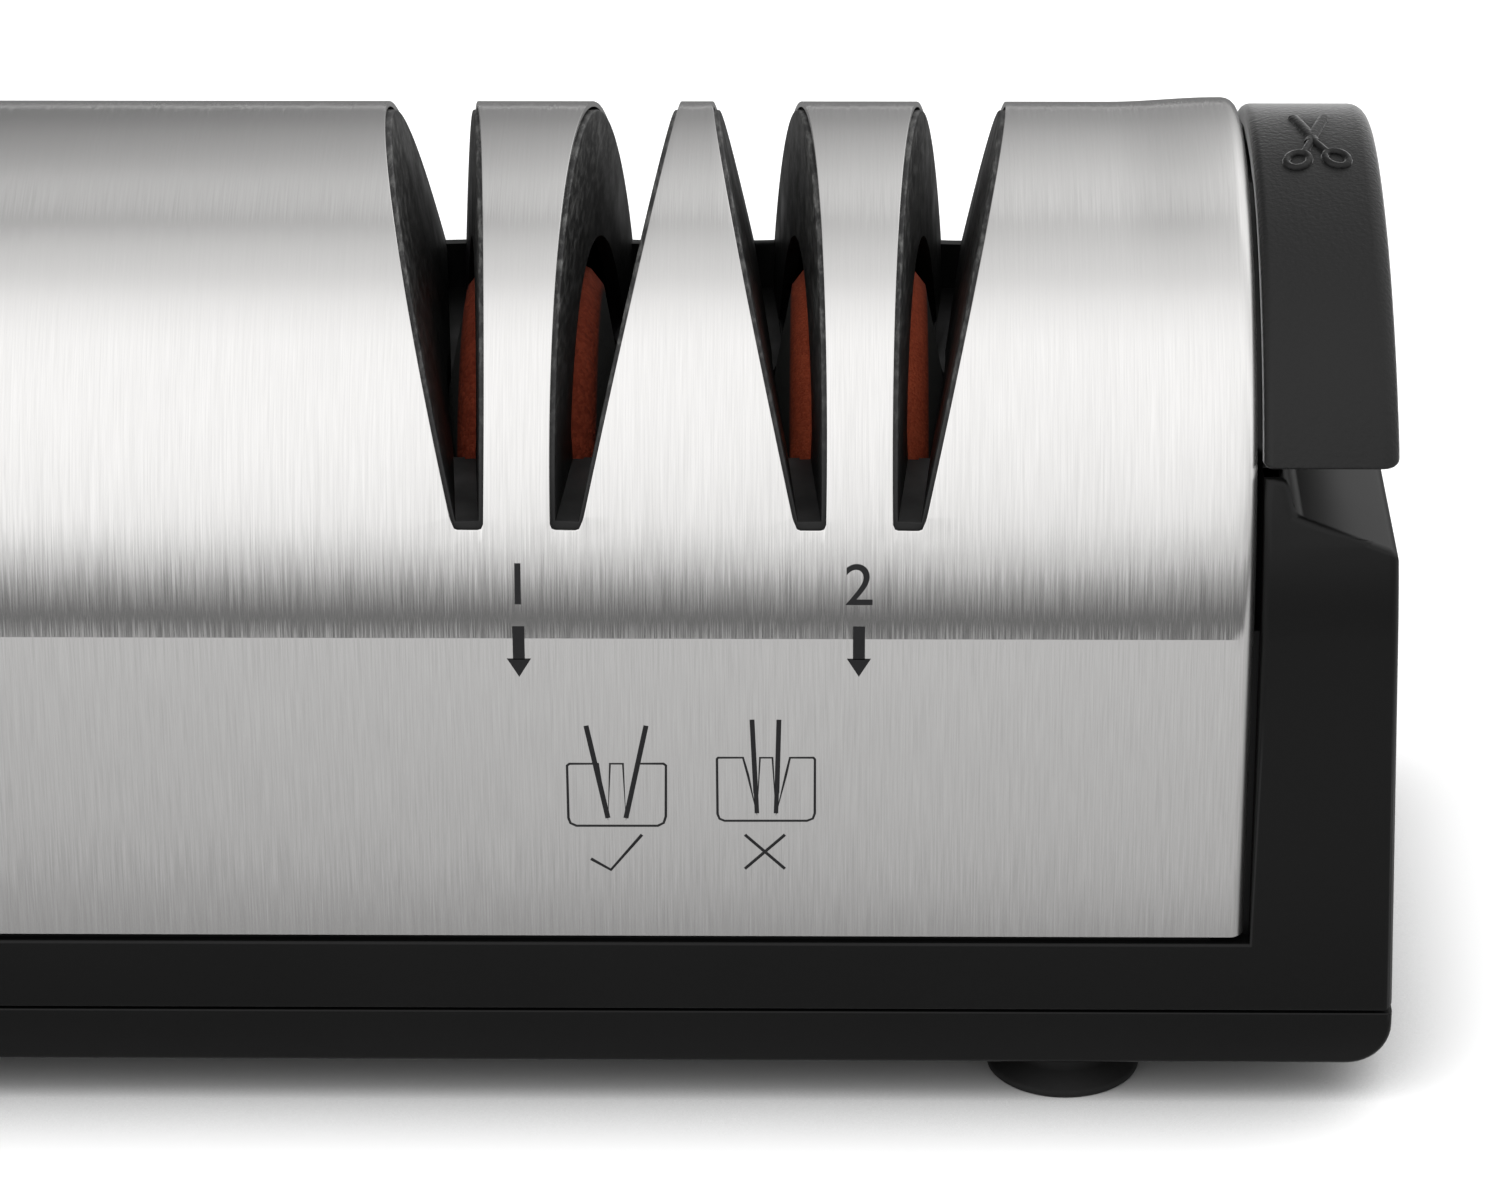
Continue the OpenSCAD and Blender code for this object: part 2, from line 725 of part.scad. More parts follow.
module motor_end_bell() {
    color("#2e2e30") difference() {
        union() {
            rod_x(motor_back_x - bell_len, bell_len, motor_r - 1);
            rod_x(motor_back_x - 0.1, 3, motor_r - can_t - fit);
            // holders for the two brushes
            for (s = [-1, 1]) translate([motor_back_x, s > 0 ? brush_y + 1 : -brush_y - 9, axis_z - 4])
                cube([commutator_x + commutator_len - motor_back_x, 8, 8]);
        }
        brush_bars(fit / 2);
        rod_x(motor_back_x - bell_len + 3, bell_len + 1, motor_r - 6);
        rod_x(motor_back_x - bell_len - 1, bell_len + 2, motor_shaft_r + run_fit);
    }
}

module motor_magnets() {
    outer = motor_r - can_t - fit;
    color("#4a4744") intersection() {
        difference() {
            rod_x(core_x - 2, core_len + 4, outer);
            rod_x(core_x - 3, core_len + 6, outer - magnet_t);
        }
        union() for (s = [-1, 1]) translate([core_x - 3, s > 0 ? 5 : -5 - far, 0])
            cube([core_len + 6, far, far]);
    }
}

// The carbon bars that rub on the commutator, grown by a clearance
module brush_bars(grow) {
    len = 7;
    half = 2.5;
    for (s = [-1, 1]) translate([commutator_x + 4, s * (brush_y + len / 2), axis_z])
        cube([2 * (half + grow), len + 2 * grow, 2 * (half + grow)], center = true);
}

module motor_brushes() {
    color("#8a5a33") brush_bars(0);
}

commutator_r = 6.5;
brush_y = commutator_r + turn_gap;
slot_count = 12;

module armature_core() {
    color("#7c7f83") difference() {
        rod_x(core_x, core_len, armature_r);
        rod_x(core_x - 1, core_len + 2, motor_shaft_r + fit / 2);
        for (i = [0 : slot_count - 1]) translate([0, 0, axis_z]) rotate([i * 360 / slot_count, 0, 0])
            translate([core_x - 1, -1.2, armature_r - 5]) cube([core_len + 2, 2.4, 6]);
    }
}

// End turns of the coils at both ends of the core
module armature_windings() {
    r = (armature_r + 5) / 2;
    color("#b5602f") for (m = [0, 1]) translate([core_x + core_len / 2, 0, axis_z]) mirror([m, 0, 0])
        rotate([0, 90, 0]) rotate_extrude() polygon([
            [motor_shaft_r + fit / 2, core_len / 2], [armature_r - 1, core_len / 2],
            [armature_r - 1, core_len / 2 + 3], [r, core_len / 2 + 5],
            [motor_shaft_r + fit / 2, core_len / 2 + 5]
        ]);
}

module commutator() {
    color("#b87333") difference() {
        rod_x(commutator_x, commutator_len, commutator_r);
        rod_x(commutator_x - 1, commutator_len + 2, motor_shaft_r + fit / 2);
        for (i = [0 : slot_count - 1]) translate([0, 0, axis_z]) rotate([i * 360 / slot_count, 0, 0])
            translate([commutator_x - 1, -0.25, commutator_r - 0.7]) cube([commutator_len + 2, 0.5, 1]);
    }
}

module motor_shaft() {
    color("#c8cacc")
        rod_x(motor_back_x - bell_len - 1, wheel_shaft_x - motor_back_x + bell_len + 0.8, motor_shaft_r);
}

module cooling_fan() {
    blades = 9;
    hub = 7;
    back_t = 1.5;
    color("#3c3c3e") difference() {
        union() {
            rod_x(fan_x, back_t, fan_r);
            along_x(fan_x + back_t / 2, fan_len - back_t / 2) translate([0, axis_z]) {
                circle(hub);
                for (i = [0 : blades - 1]) rotate(i * 360 / blades)
                    translate([hub - 1, -0.7]) square([fan_r - hub, 1.4]);
            }
        }
        rod_x(fan_x - 1, fan_len + 2, motor_shaft_r + fit / 2);
    }
}

module shaft_coupling() {
    color("#9da0a3") difference() {
        rod_x(coupling_x, coupling_end - coupling_x, coupling_r);
        rod_x(coupling_x - 1, wheel_shaft_x - coupling_x + 1, motor_shaft_r + fit / 2);
        rod_x(wheel_shaft_x, coupling_end - wheel_shaft_x + 1, shaft_r + fit / 2);
        for (x = [coupling_x + 2.5, coupling_end - 2.5]) translate([x, 0, axis_z])
            cylinder(h = coupling_r + 1, r = 1.2, $fn = 32);
    }
}

module motor_cradle() {
    color("#343436") difference() {
        union() {
            for (x = saddle_x) translate([x, -saddle_half, deck_z])
                cube([saddle_t, 2 * saddle_half, axis_z - deck_z]);
            for (s = [-1, 1]) translate([saddle_x[0], s * (saddle_half - 3) - 3, deck_z])
                cube([saddle_x[1] - saddle_x[0] + 1, 6, rail_h]);
        }
        rod_x(motor_back_x - bell_len - 5, motor_len + bell_len + 20, motor_r + fit / 2);
        for (x = saddle_x) translate([x - 1, -13, deck_z - 1]) cube([saddle_t + 2, 26, 9]);
        for (x = saddle_x, s = [-1, 1]) translate([x + saddle_t / 2, s * strap_screw_y, axis_z - 9])
            cylinder(h = 10, r = pilot_r, $fn = 32);
        for (p = cradle_screw_at) translate([p[0], p[1], deck_z - 1])
            cylinder(h = rail_h + 2, r = screw_hole_r, $fn = 32);
    }
}

rail_h = 4;
saddle_x = [motor_back_x + 4, motor_front_x - 10];
cradle_screw_at = [
    for (x = [saddle_x[0] + saddle_t + 5, saddle_x[1] - 5], s = [-1, 1]) [x, s * (saddle_half - 3)]
];
strap_screw_y = motor_r + strap_t + screw_head_r + 3 * fit;

module motor_straps() {
    r0 = motor_r + fit / 2;
    color(steel) for (x = saddle_x) difference() {
        along_x(x, saddle_t) {
            intersection() {
                translate([0, axis_z]) difference() {
                    circle(r0 + strap_t);
                    circle(r0);
                }
                translate([-far / 2, axis_z]) square(far);
            }
            for (s = [-1, 1]) translate([s > 0 ? r0 : -saddle_half, axis_z])
                square([saddle_half - r0, strap_t]);
        }
        for (s = [-1, 1]) translate([x + saddle_t / 2, s * strap_screw_y, 0])
            cylinder(h = far, r = screw_hole_r, $fn = 32);
    }
}

module cradle_screws() {
    color("#a9abad") for (p = cradle_screw_at)
        translate([p[0], p[1], 0]) screw_down(deck_z + rail_h, rail_h + chassis_t + 2);
}

module strap_screws() {
    color("#a9abad") for (x = saddle_x, s = [-1, 1])
        translate([x + saddle_t / 2, s * strap_screw_y, 0]) screw_down(axis_z + strap_t, strap_t + screw_grip);
}

// ---- Circuit board under the motor ----

board_t = 1.6;
board_x = motor_front_x - motor_len / 2 - board_len / 2;
board_z = deck_z + board_lift;
post_r = 2;

module circuit_board() {
    color("#2f5d3a") {
        translate([board_x, -board_w / 2, board_z]) cube([board_len, board_w, board_t]);
        for (x = [board_x + 3, board_x + board_len - 3], s = [-1, 1])
            translate([x, s * (chassis_slot + post_r), deck_z])
                cylinder(h = board_z - deck_z + 0.1, r = post_r, $fn = 32);
        for (x = [board_x + 3, board_x + board_len - 3], s = [-1, 1])
            translate([x - post_r, s > 0 ? board_w / 2 - 1 : -chassis_slot - 2 * post_r, board_z])
                cube([2 * post_r, chassis_slot + 2 * post_r + 1 - board_w / 2, board_t]);
    }
}

chassis_slot = air_w / 2 + 0.2;
// lengths and heights of the parts on the board, as shares of the board
capacitor_r = board_len * 0.12;
part_h = board_len * 0.15;

module board_parts() {
    top = board_z + board_t;
    color("#1f2a44") {
        translate([board_x + 2 * capacitor_r, board_w / 6, top])
            cylinder(h = 1.4 * part_h, r = capacitor_r);
        for (q = [[0.53, -0.33, 0.3], [0.59, 0.12, 0.24], [0.15, -0.37, 0.24]])
            translate([board_x + q[0] * board_len, q[1] * board_w, top])
                cube([q[2] * board_len, board_w / 4, part_h]);
    }
}

// ---- Leads inside the body ----

lead_r = 0.9;

// A wire that runs straight from point to point, with a bead at each bend
module lead(points) {
    for (i = [0 : len(points) - 2]) {
        step = points[i + 1] - points[i];
        translate(points[i]) rotate([0, acos(step[2] / norm(step)), atan2(step[1], step[0])])
            cylinder(h = norm(step), r = lead_r, $fn = 24);
    }
    for (i = [1 : len(points) - 2]) translate(points[i]) sphere(lead_r + 0.2, $fn = 24);
}

module inner_leads() {
    top = board_z + board_t;
    tab_y = switch_depth - shell_r + 5;
    bell_x = motor_back_x - bell_len / 2;
    bell_drop = sqrt(pow(motor_r - 1, 2) - pow(6 - lead_r, 2));
    color("#8c2f2a") {
        // switch to board
        for (x = [switch_x - 5, switch_x + 5]) lead([
            [x, tab_y + lead_r, switch_z - 1], [x, tab_y + lead_r, switch_z - 9],
            [x, -16, top + 3], [x, -10.5, top + 2], [x, -10.5, top]
        ]);
        // board to motor
        for (y = [-6, 6]) lead([
            [board_x + 2, y, top], [board_x + 2, y, top + 1.5], [bell_x, y, top + 1.5],
            [bell_x, y, axis_z - bell_drop]
        ]);
    }
}

// ---- Rocker switch ----

switch_z = skirt_z + shell_skirt / 2;
rocker_half = bezel_w / 2 - bezel_rim - 0.3;
rocker_h = bezel_h - 2 * bezel_rim - 0.6;
pivot_y = -shell_r + pivot_depth;
pin_r = 1;
pin_len = 0.6;

module switch_body() {
    body_w = bezel_w - bezel_rim - 2 * fit;
    body_h = bezel_h - bezel_rim - 2 * fit;
    well_w = bezel_w - 2 * bezel_rim;
    well_h = bezel_h - 2 * bezel_rim;
    color("#1c1c1c") translate([switch_x, 0, switch_z]) difference() {
        union() {
            translate([-bezel_w / 2, -shell_r - bezel_t, -bezel_h / 2]) cube([bezel_w, bezel_t, bezel_h]);
            translate([-body_w / 2, -shell_r - 0.1, -body_h / 2]) cube([body_w, switch_depth, body_h]);
            for (x = [-5, 5]) translate([x - 0.4, switch_depth - shell_r - 1, -2.4])
                cube([0.8, 6, 4.8]);
        }
        translate([-well_w / 2, -shell_r - bezel_t - 1, -well_h / 2])
            cube([well_w, bezel_t + 1 + pivot_depth + rocker_half + 0.4, well_h]);
        translate([0, pivot_y, 0])
            cylinder(h = rocker_h + 2 * pin_len + 0.2, r = pin_r + run_fit, center = true, $fn = 48);
    }
}

module switch_rocker() {
    crown = bezel_t + pivot_depth - 0.3;
    ridge = crown * 0.6;
    color("#151515") translate([switch_x, pivot_y, switch_z]) rotate([0, 0, rocker_tilt]) {
        linear_extrude(rocker_h, center = true) intersection() {
            circle(rocker_half);
            polygon([
                [-rocker_half, -crown - 1.2], [0, -ridge - 0.6], [rocker_half, -crown - 1.2],
                [rocker_half, rocker_half * 0.5], [-rocker_half, rocker_half * 0.5]
            ]);
        }
        cylinder(h = rocker_h + 2 * pin_len, r = pin_r, center = true, $fn = 48);
    }
}

// ---- Cord gland ----

gland_z = band_z + gland_rise;
gland_lean = (gland_z + gland_r - seam_z) * tan(end_lean);
gland_room = (end_len - wall - bulkhead_t - gland_lean) / 2;
gland_x = -(bulkhead_x + gland_room);
gland_neck_r = gland_r - 1.2;

module cord_gland() {
    inside = 4;
    color(rubber) translate([gland_x, frame_r, gland_z]) rotate([90, 0, 0]) difference() {
        union() {
            translate([0, 0, -gland_proud]) cylinder(h = gland_proud, r1 = gland_r - 0.8, r2 = gland_r);
            translate([0, 0, -0.1]) cylinder(h = wall + fit + 0.1, r = gland_neck_r);
            translate([0, 0, wall + fit]) intersection() {
                cylinder(h = inside - wall, r = gland_neck_r + 1.5);
                translate([2 * fit - gland_room, -far / 2, 0])
                    cube([2 * gland_room - 4 * fit, far, inside]);
            }
        }
        translate([0, 0, -far / 2]) cylinder(h = far, r = cord_r);
    }
}

// ---- Feet ----

module foot() {
    head_r = foot_stem_r + 1;
    color(rubber) rotate_extrude() polygon([
        [0, 1.4], [foot_r - 1.6, 0], [foot_r, 0], [foot_r, 0.7], [foot_neck_r + 0.3, 2.3],
        [foot_neck_r, 2.8], [foot_neck_r, tray_z], [foot_stem_r, tray_z],
        [foot_stem_r, floor_z + fit], [head_r, floor_z + fit], [foot_stem_r, floor_z + 2.5],
        [0, floor_z + 2.5]
    ]);
}

module foot_at(sx, sy) {
    translate([sx * (body_half - foot_inset_x), sy * (frame_r - foot_inset_y), 0]) foot();
}

module foot_front_left() { foot_at(-1, -1); }
module foot_front_right() { foot_at(1, -1); }
module foot_back_left() { foot_at(-1, 1); }
module foot_back_right() { foot_at(1, 1); }

// ---- Fasteners ----

module base_screws() {
    color("#a9abad") for (s = [-1, 1])
        translate([screw_x, s * screw_y, 0]) screw_up(tray_z + 0.6, base_h + band_h - screw_grip + 2);
}

module cap_screws() {
    color("#a9abad") for (s = [-1, 1])
        translate([-screw_x, s * screw_y, 0]) screw_up(tray_z + 0.6, base_h + band_h + screw_grip + 2);
}

module chassis_screws() {
    color("#a9abad") for (p = chassis_screw_at) translate([p[0], p[1], 0]) screw_down(deck_z, screw_grip);
}

module pedestal_screws() {
    color("#a9abad") for (p = pedestal_screw_at)
        translate([p[0], p[1], 0]) screw_down(deck_z + foot_plate_t, foot_plate_t + chassis_t + 2);
}

module cover_screws() {
    color("#a9abad") for (s = [-1, 1]) translate([block_x, s * cover_screw_y, cover_screw_z])
        rotate([0, 90, 0]) screw_up(-screw_head_h, bulkhead_t + screw_grip + 2);
}

// ---- Wheels on their shaft ----

nut_len = 4;
scissors_x = bulkhead_x + 0.2;
scissors_hub_x = right_pedestal_x + pedestal_t + 1.5;

module wheel_shaft() {
    color("#c8cacc") rod_x(wheel_shaft_x + 0.2, scissors_x + nut_len + 1 - wheel_shaft_x, shaft_r);
}

module wheel_hub(x) {
    color("#46474a") difference() {
        union() {
            rod_x(x - hub_half, 2 * hub_half, hub_r);
            rod_x(x - web_half, 2 * web_half, web_r);
        }
        rod_x(x - hub_half - 1, 2 * hub_half + 2, shaft_r + fit / 2);
    }
}

// Two stone rings, one on each face of the hub's disc
module knife_wheel(x) {
    bore = hub_r + fit / 2;
    thick = wheel_half + (wheel_r - bore) * tan(wheel_cone);
    low = wheel_r - wheel_edge;
    mid = wheel_r - 0.3 * wheel_edge;
    color("#a8452a") for (s = [-1, 1]) turned_x(x, [
        [bore, s * (web_half + fit / 2)], [wheel_r, s * (web_half + fit / 2)],
        [wheel_r, s * (wheel_half - wheel_edge)], [mid, s * (wheel_half - 0.35 * wheel_edge)],
        [low, s * (wheel_half + wheel_edge * tan(wheel_cone))], [bore, s * thick]
    ]);
}

module coarse_hub() { wheel_hub(coarse_x); }
module fine_hub() { wheel_hub(fine_x); }
module coarse_wheel() { knife_wheel(coarse_x); }
module fine_wheel() { knife_wheel(fine_x); }

// A sleeve that keeps two pieces apart on the shaft
module spacer(x0, x1) {
    color("#8d9093") difference() {
        rod_x(x0, x1 - x0, spacer_r);
        rod_x(x0 - 1, x1 - x0 + 2, shaft_r + fit / 2);
    }
}

spacer_r = shaft_r + 1.4;
module left_spacer() { spacer(left_pedestal_x + pedestal_t + 1 + turn_gap, coarse_x - hub_half); }
module middle_spacer() { spacer(coarse_x + hub_half, fine_x - hub_half); }
module right_spacer() { spacer(fine_x + hub_half, right_pedestal_x - 2 - turn_gap); }

module scissors_hub() {
    color("#46474a") difference() {
        union() {
            rod_x(scissors_hub_x, scissors_x - scissors_hub_x, hub_r);
            rod_x(scissors_x - scissors_t - 2, 2, scissors_r - 3);
        }
        rod_x(scissors_hub_x - 1, far / 2, shaft_r + fit / 2);
    }
}

module scissors_wheel() {
    color("#a8452a") difference() {
        rod_x(scissors_x - scissors_t + fit / 2, scissors_t - fit / 2, scissors_r);
        rod_x(scissors_x - scissors_t - 1, scissors_t + 2, hub_r + fit / 2);
    }
}

module shaft_nut() {
    color("#a9abad") difference() {
        translate([scissors_x + fit, 0, axis_z]) rotate([0, 90, 0]) cylinder(h = nut_len, r = 7.5, $fn = 6);
        rod_x(scissors_x - 1, nut_len + 3, shaft_r + fit / 2);
    }
}

base_tray();
main_housing();
steel_shell();
left_end_cap();
scissors_cover();
coarse_guide();
fine_guide();
chassis_plate();
left_pedestal();
right_pedestal();
left_bush();
right_bush();
motor_can();
motor_end_bell();
motor_magnets();
motor_brushes();
motor_cradle();
motor_straps();
circuit_board();
board_parts();
switch_body();
switch_rocker();
inner_leads();
cord_gland();
foot_front_left();
foot_front_right();
foot_back_left();
foot_back_right();
base_screws();
cap_screws();
chassis_screws();
cover_screws();
strap_screws();
pedestal_screws();
cradle_screws();
armature_core();
armature_windings();
commutator();
motor_shaft();
cooling_fan();
shaft_coupling();
wheel_shaft();
left_spacer();
middle_spacer();
right_spacer();
coarse_hub();
coarse_wheel();
fine_hub();
fine_wheel();
scissors_hub();
scissors_wheel();
shaft_nut();
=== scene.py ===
"""Electric knife and scissors sharpener, dressed for its picture.

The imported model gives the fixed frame: where every part sits and which parts turn. This file gives the
parts their outer form and finish, and sets up the floor, the light and the camera. Sizes are written in
millimetres and turned to metres where the meshes are made.
"""

import logging
import math
from contextlib import contextmanager
from dataclasses import dataclass
from enum import Enum
from functools import partial
from typing import Any, Callable, Iterator, Sequence

import bmesh
import bpy
from bpy.types import Material, Node, NodeSocket, NodeTree, Object
from mathutils import Matrix, Vector


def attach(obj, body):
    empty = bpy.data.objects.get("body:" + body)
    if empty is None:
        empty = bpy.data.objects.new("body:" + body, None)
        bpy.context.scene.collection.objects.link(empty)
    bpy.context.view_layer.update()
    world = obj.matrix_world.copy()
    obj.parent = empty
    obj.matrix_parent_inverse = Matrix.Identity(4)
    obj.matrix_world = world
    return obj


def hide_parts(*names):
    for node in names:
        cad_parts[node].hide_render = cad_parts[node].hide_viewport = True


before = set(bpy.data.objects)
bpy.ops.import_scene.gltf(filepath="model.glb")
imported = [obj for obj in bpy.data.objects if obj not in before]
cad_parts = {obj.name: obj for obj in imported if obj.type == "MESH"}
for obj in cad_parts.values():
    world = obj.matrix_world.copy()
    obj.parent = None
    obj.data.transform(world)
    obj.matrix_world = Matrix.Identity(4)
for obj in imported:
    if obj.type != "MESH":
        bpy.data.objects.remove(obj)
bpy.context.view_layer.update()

MM = 0.001
LOG = logging.getLogger("sharpener")

Pair = tuple[float, float]
Triple = tuple[float, float, float]

# Points nearer than this are joined, in millimetres, and faces that turn less than this, in degrees
WELD = 0.002
FLAT = 0.4
# Levels between which nearly all of a noise lies
NOISE = {"From Min": 0.3, "From Max": 0.7}
# Numbers of the colour inputs and the colour output of a Mix node, which uses their names three times
COLOUR_A, COLOUR_B, MIXED = 6, 7, 2


class Body(str, Enum):
    """The bodies that a piece can ride on."""

    FIXED = "body"
    ROTOR = "rotor"
    ROCKER = "rocker"


class Side(Enum):
    """Front or back of the body, as the sign of Y."""

    FRONT = -1
    BACK = 1


# ---- Small tools ----


def linear(hex_colour: str) -> tuple[float, float, float, float]:
    """Turn an sRGB hex colour to linear light.

    Args:
        hex_colour: six hex digits after a #.

    Returns:
        Red, green and blue in linear light, and an alpha of 1.
    """
    parts = [int(hex_colour[i : i + 2], 16) / 255 for i in (1, 3, 5)]
    made = [c / 12.92 if c <= 0.04045 else ((c + 0.055) / 1.055) ** 2.4 for c in parts]
    return (made[0], made[1], made[2], 1.0)


def wire(tree: NodeTree, node: Node, inputs: dict[Any, Any]) -> None:
    """Fill a node's inputs.

    Args:
        tree: the node tree that it is in.
        node: the node.
        inputs: for each input, by name or number, a value, an output, or a node for its first output.
    """
    for key, value in inputs.items():
        if isinstance(value, Node):
            value = value.outputs[0]
        if isinstance(value, NodeSocket):
            tree.links.new(value, node.inputs[key])
        else:
            node.inputs[key].default_value = value


def add_node(tree: NodeTree, kind: str, inputs: dict[Any, Any] | None = None, **settings: Any) -> Node:
    """Add one node with its settings and links.

    Args:
        tree: the node tree to add to.
        kind: the node's type, without the word that all shader nodes' types start with.
        inputs: what goes into its inputs, as wire takes it.
        **settings: the node's own settings; stops fills a colour ramp.

    Returns:
        The new node.
    """
    node = tree.nodes.new(f"ShaderNode{kind}")
    stops = settings.pop("stops", None)
    for key, value in settings.items():
        setattr(node, key, value)
    wire(tree, node, inputs or {})
    for i, (place, level) in enumerate(stops or []):
        elements = node.color_ramp.elements
        stop = elements[i] if i < len(elements) else elements.new(place)
        stop.position, stop.color = place, (level, level, level, 1.0)
    return node


def smoothstep(low: float, high: float, value: float) -> float:
    """Give 0 below low, 1 above high and a soft rise between.

    Args:
        low: where the rise starts.
        high: where it ends.
        value: the place to look at.

    Returns:
        A number from 0 to 1.
    """
    t = min(1.0, max(0.0, (value - low) / (high - low)))
    return t * t * (3 - 2 * t)


def deselect() -> None:
    """Leave edit mode and select nothing."""
    if bpy.context.object and bpy.context.object.mode != "OBJECT":
        bpy.ops.object.mode_set(mode="OBJECT")
    bpy.ops.object.select_all(action="DESELECT")


def activate(piece: Object) -> None:
    """Select one piece alone and make it the active one."""
    deselect()
    piece.select_set(True)
    bpy.context.view_layer.objects.active = piece


@contextmanager
def editing(piece: Object) -> Iterator[None]:
    """Hold a piece in edit mode, at first with all of it selected.

    Args:
        piece: the piece to edit.

    Yields:
        Nothing, while the piece is in edit mode.
    """
    activate(piece)
    bpy.ops.object.mode_set(mode="EDIT")
    bpy.ops.mesh.select_all(action="SELECT")
    yield
    bpy.ops.object.mode_set(mode="OBJECT")


def merged_copy(node: str, name: str) -> Object:
    """Copy a CAD node's mesh and turn its loose triangles into joined flat faces.

    Args:
        node: the CAD node.
        name: the new piece's name.

    Returns:
        The new piece.
    """
    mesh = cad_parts[node].data.copy()
    piece = bpy.data.objects.new(name, mesh)
    bpy.context.scene.collection.objects.link(piece)
    with editing(piece):
        bpy.ops.mesh.remove_doubles(threshold=WELD * MM)
        bpy.ops.mesh.dissolve_limited(angle_limit=math.radians(FLAT))
    return piece


def bevel_where(
    piece: Object,
    test: Callable[[Vector, Vector], bool],
    width: float,
    segments: int = 3,
    least: float = 20,
) -> None:
    """Round the edges whose two ends pass a test.

    Args:
        piece: the piece to work on.
        test: says yes to an edge, from its two ends in millimetres.
        width: width of the rounding in millimetres.
        segments: faces across the rounding.
        least: smallest angle between an edge's two faces, in degrees.
    """
    with editing(piece):
        bpy.ops.mesh.select_mode(type="EDGE")
        bpy.ops.mesh.select_all(action="DESELECT")
        bm = bmesh.from_edit_mesh(piece.data)
        for edge in bm.edges:
            if len(edge.link_faces) == 2 and edge.calc_face_angle(0) > math.radians(least):
                if test(*(v.co / MM for v in edge.verts)):
                    edge.select_set(True)
        bmesh.update_edit_mesh(piece.data)
        bpy.ops.mesh.bevel(offset=width * MM, segments=segments, affect="EDGES", clamp_overlap=False)


def apply_modifier(piece: Object, kind: str, **settings: Any) -> None:
    """Add a modifier, set it and apply it.

    Args:
        piece: the piece to work on.
        kind: the modifier's type.
        **settings: the modifier's settings.
    """
    activate(piece)
    modifier = piece.modifiers.new(kind.lower(), kind)
    for key, value in settings.items():
        setattr(modifier, key, value)
    bpy.ops.object.modifier_apply(modifier=modifier.name)


def smooth(piece: Object, angle: float = 32) -> None:
    """Shade a piece smooth up to an angle, with flat faces kept flat beside their roundings.

    Args:
        piece: the piece to work on.
        angle: edges sharper than this many degrees stay sharp.
    """
    activate(piece)
    bpy.ops.object.shade_smooth_by_angle(angle=math.radians(angle), keep_sharp_edges=True)
    apply_modifier(piece, "WEIGHTED_NORMAL", mode="FACE_AREA", weight=50, keep_sharp=True)


def join(pieces: Sequence[Object], name: str) -> Object:
    """Join several meshes to one piece.

    Args:
        pieces: the meshes; the first one takes the others in.
        name: the joined piece's name.

    Returns:
        The joined piece.
    """
    activate(pieces[0])
    for piece in pieces[1:]:
        piece.select_set(True)
    if len(pieces) > 1:
        bpy.ops.object.join()
    joined = bpy.context.view_layer.objects.active
    joined.name = joined.data.name = name
    return joined


def ellipse(middle: Pair, half: Pair, turn: float = 0.0) -> list[Pair]:
    """List 24 points round an ellipse.

    Args:
        middle: its middle.
        half: its two half axes.
        turn: how far it is turned, in degrees.

    Returns:
        The points in order.
    """
    t = math.radians(turn)
    points = []
    for i in range(24):
        u, v = half[0] * math.cos(i * math.pi / 12), half[1] * math.sin(i * math.pi / 12)
        points.append((
            middle[0] + u * math.cos(t) - v * math.sin(t), middle[1] + u * math.sin(t) + v * math.cos(t)
        ))
    return points


def slice_up(piece: Object, places: Sequence[float]) -> None:
    """Cut a flat piece across Y, so that it can be bent round the dome.

    Args:
        piece: the flat piece.
        places: where it is cut, in millimetres along Y.
    """
    with editing(piece):
        for place in places:
            bpy.ops.mesh.select_all(action="SELECT")
            bpy.ops.mesh.bisect(plane_co=(0, place * MM, 0), plane_no=(0, 1, 0))


def hull_radius(point: Vector) -> float:
    """Distance of a point in millimetres from the body's middle plane, or from the dome's axis above it."""
    return abs(point.y) if point.z < CREASE_Z else math.hypot(point.y, point.z - CREASE_Z)


def slid_down(point: Vector, drop: float) -> Vector:
    """Move a point above the crease down on its own round skin.

    Args:
        point: the point in millimetres.
        drop: how far down it goes.

    Returns:
        The moved point, in metres.
    """
    z = point.z - drop
    y = math.sqrt(max(0.0, hull_radius(point) ** 2 - (z - CREASE_Z) ** 2))
    return Vector((point.x, math.copysign(y, point.y), z)) * MM


def settle(
    piece: Object,
    finish: "Finish",
    body: Body = Body.FIXED,
    replaces: Sequence[str] = (),
) -> None:
    """Give a finished piece its material, its body and the nodes that it stands for.

    Args:
        piece: the finished piece.
        finish: the finish of its whole surface.
        body: the body that it rides on.
        replaces: CAD nodes that it stands for.
    """
    piece.data.materials.clear()
    piece.data.materials.append(finish.material())
    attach(piece, body.value)
    if replaces:
        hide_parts(*replaces)
    LOG.info("%s: %d faces, %s", piece.name, len(piece.data.polygons), finish.name)


# Heights and places that several pieces share, in millimetres
CREASE_Z = 53.6
AXIS_Z = 51.6
SHELL_R = 39.5
SKIN_R = 39.65
# Radii that tell the cover's and the block's walls from what lies inside them, and the lips' outer skin
INNER_R = 36.0
LIP_R = 38.0
# Edges that reach further than this in depth run right across the body
WIDE = 20.0
PAIRS_X = (23.5, 57.75)
# Panels of the shell's mesh that become slots, counted from its left end
SLOT_PANELS = (3, 5, 7, 9)


# ---- Finishes ----


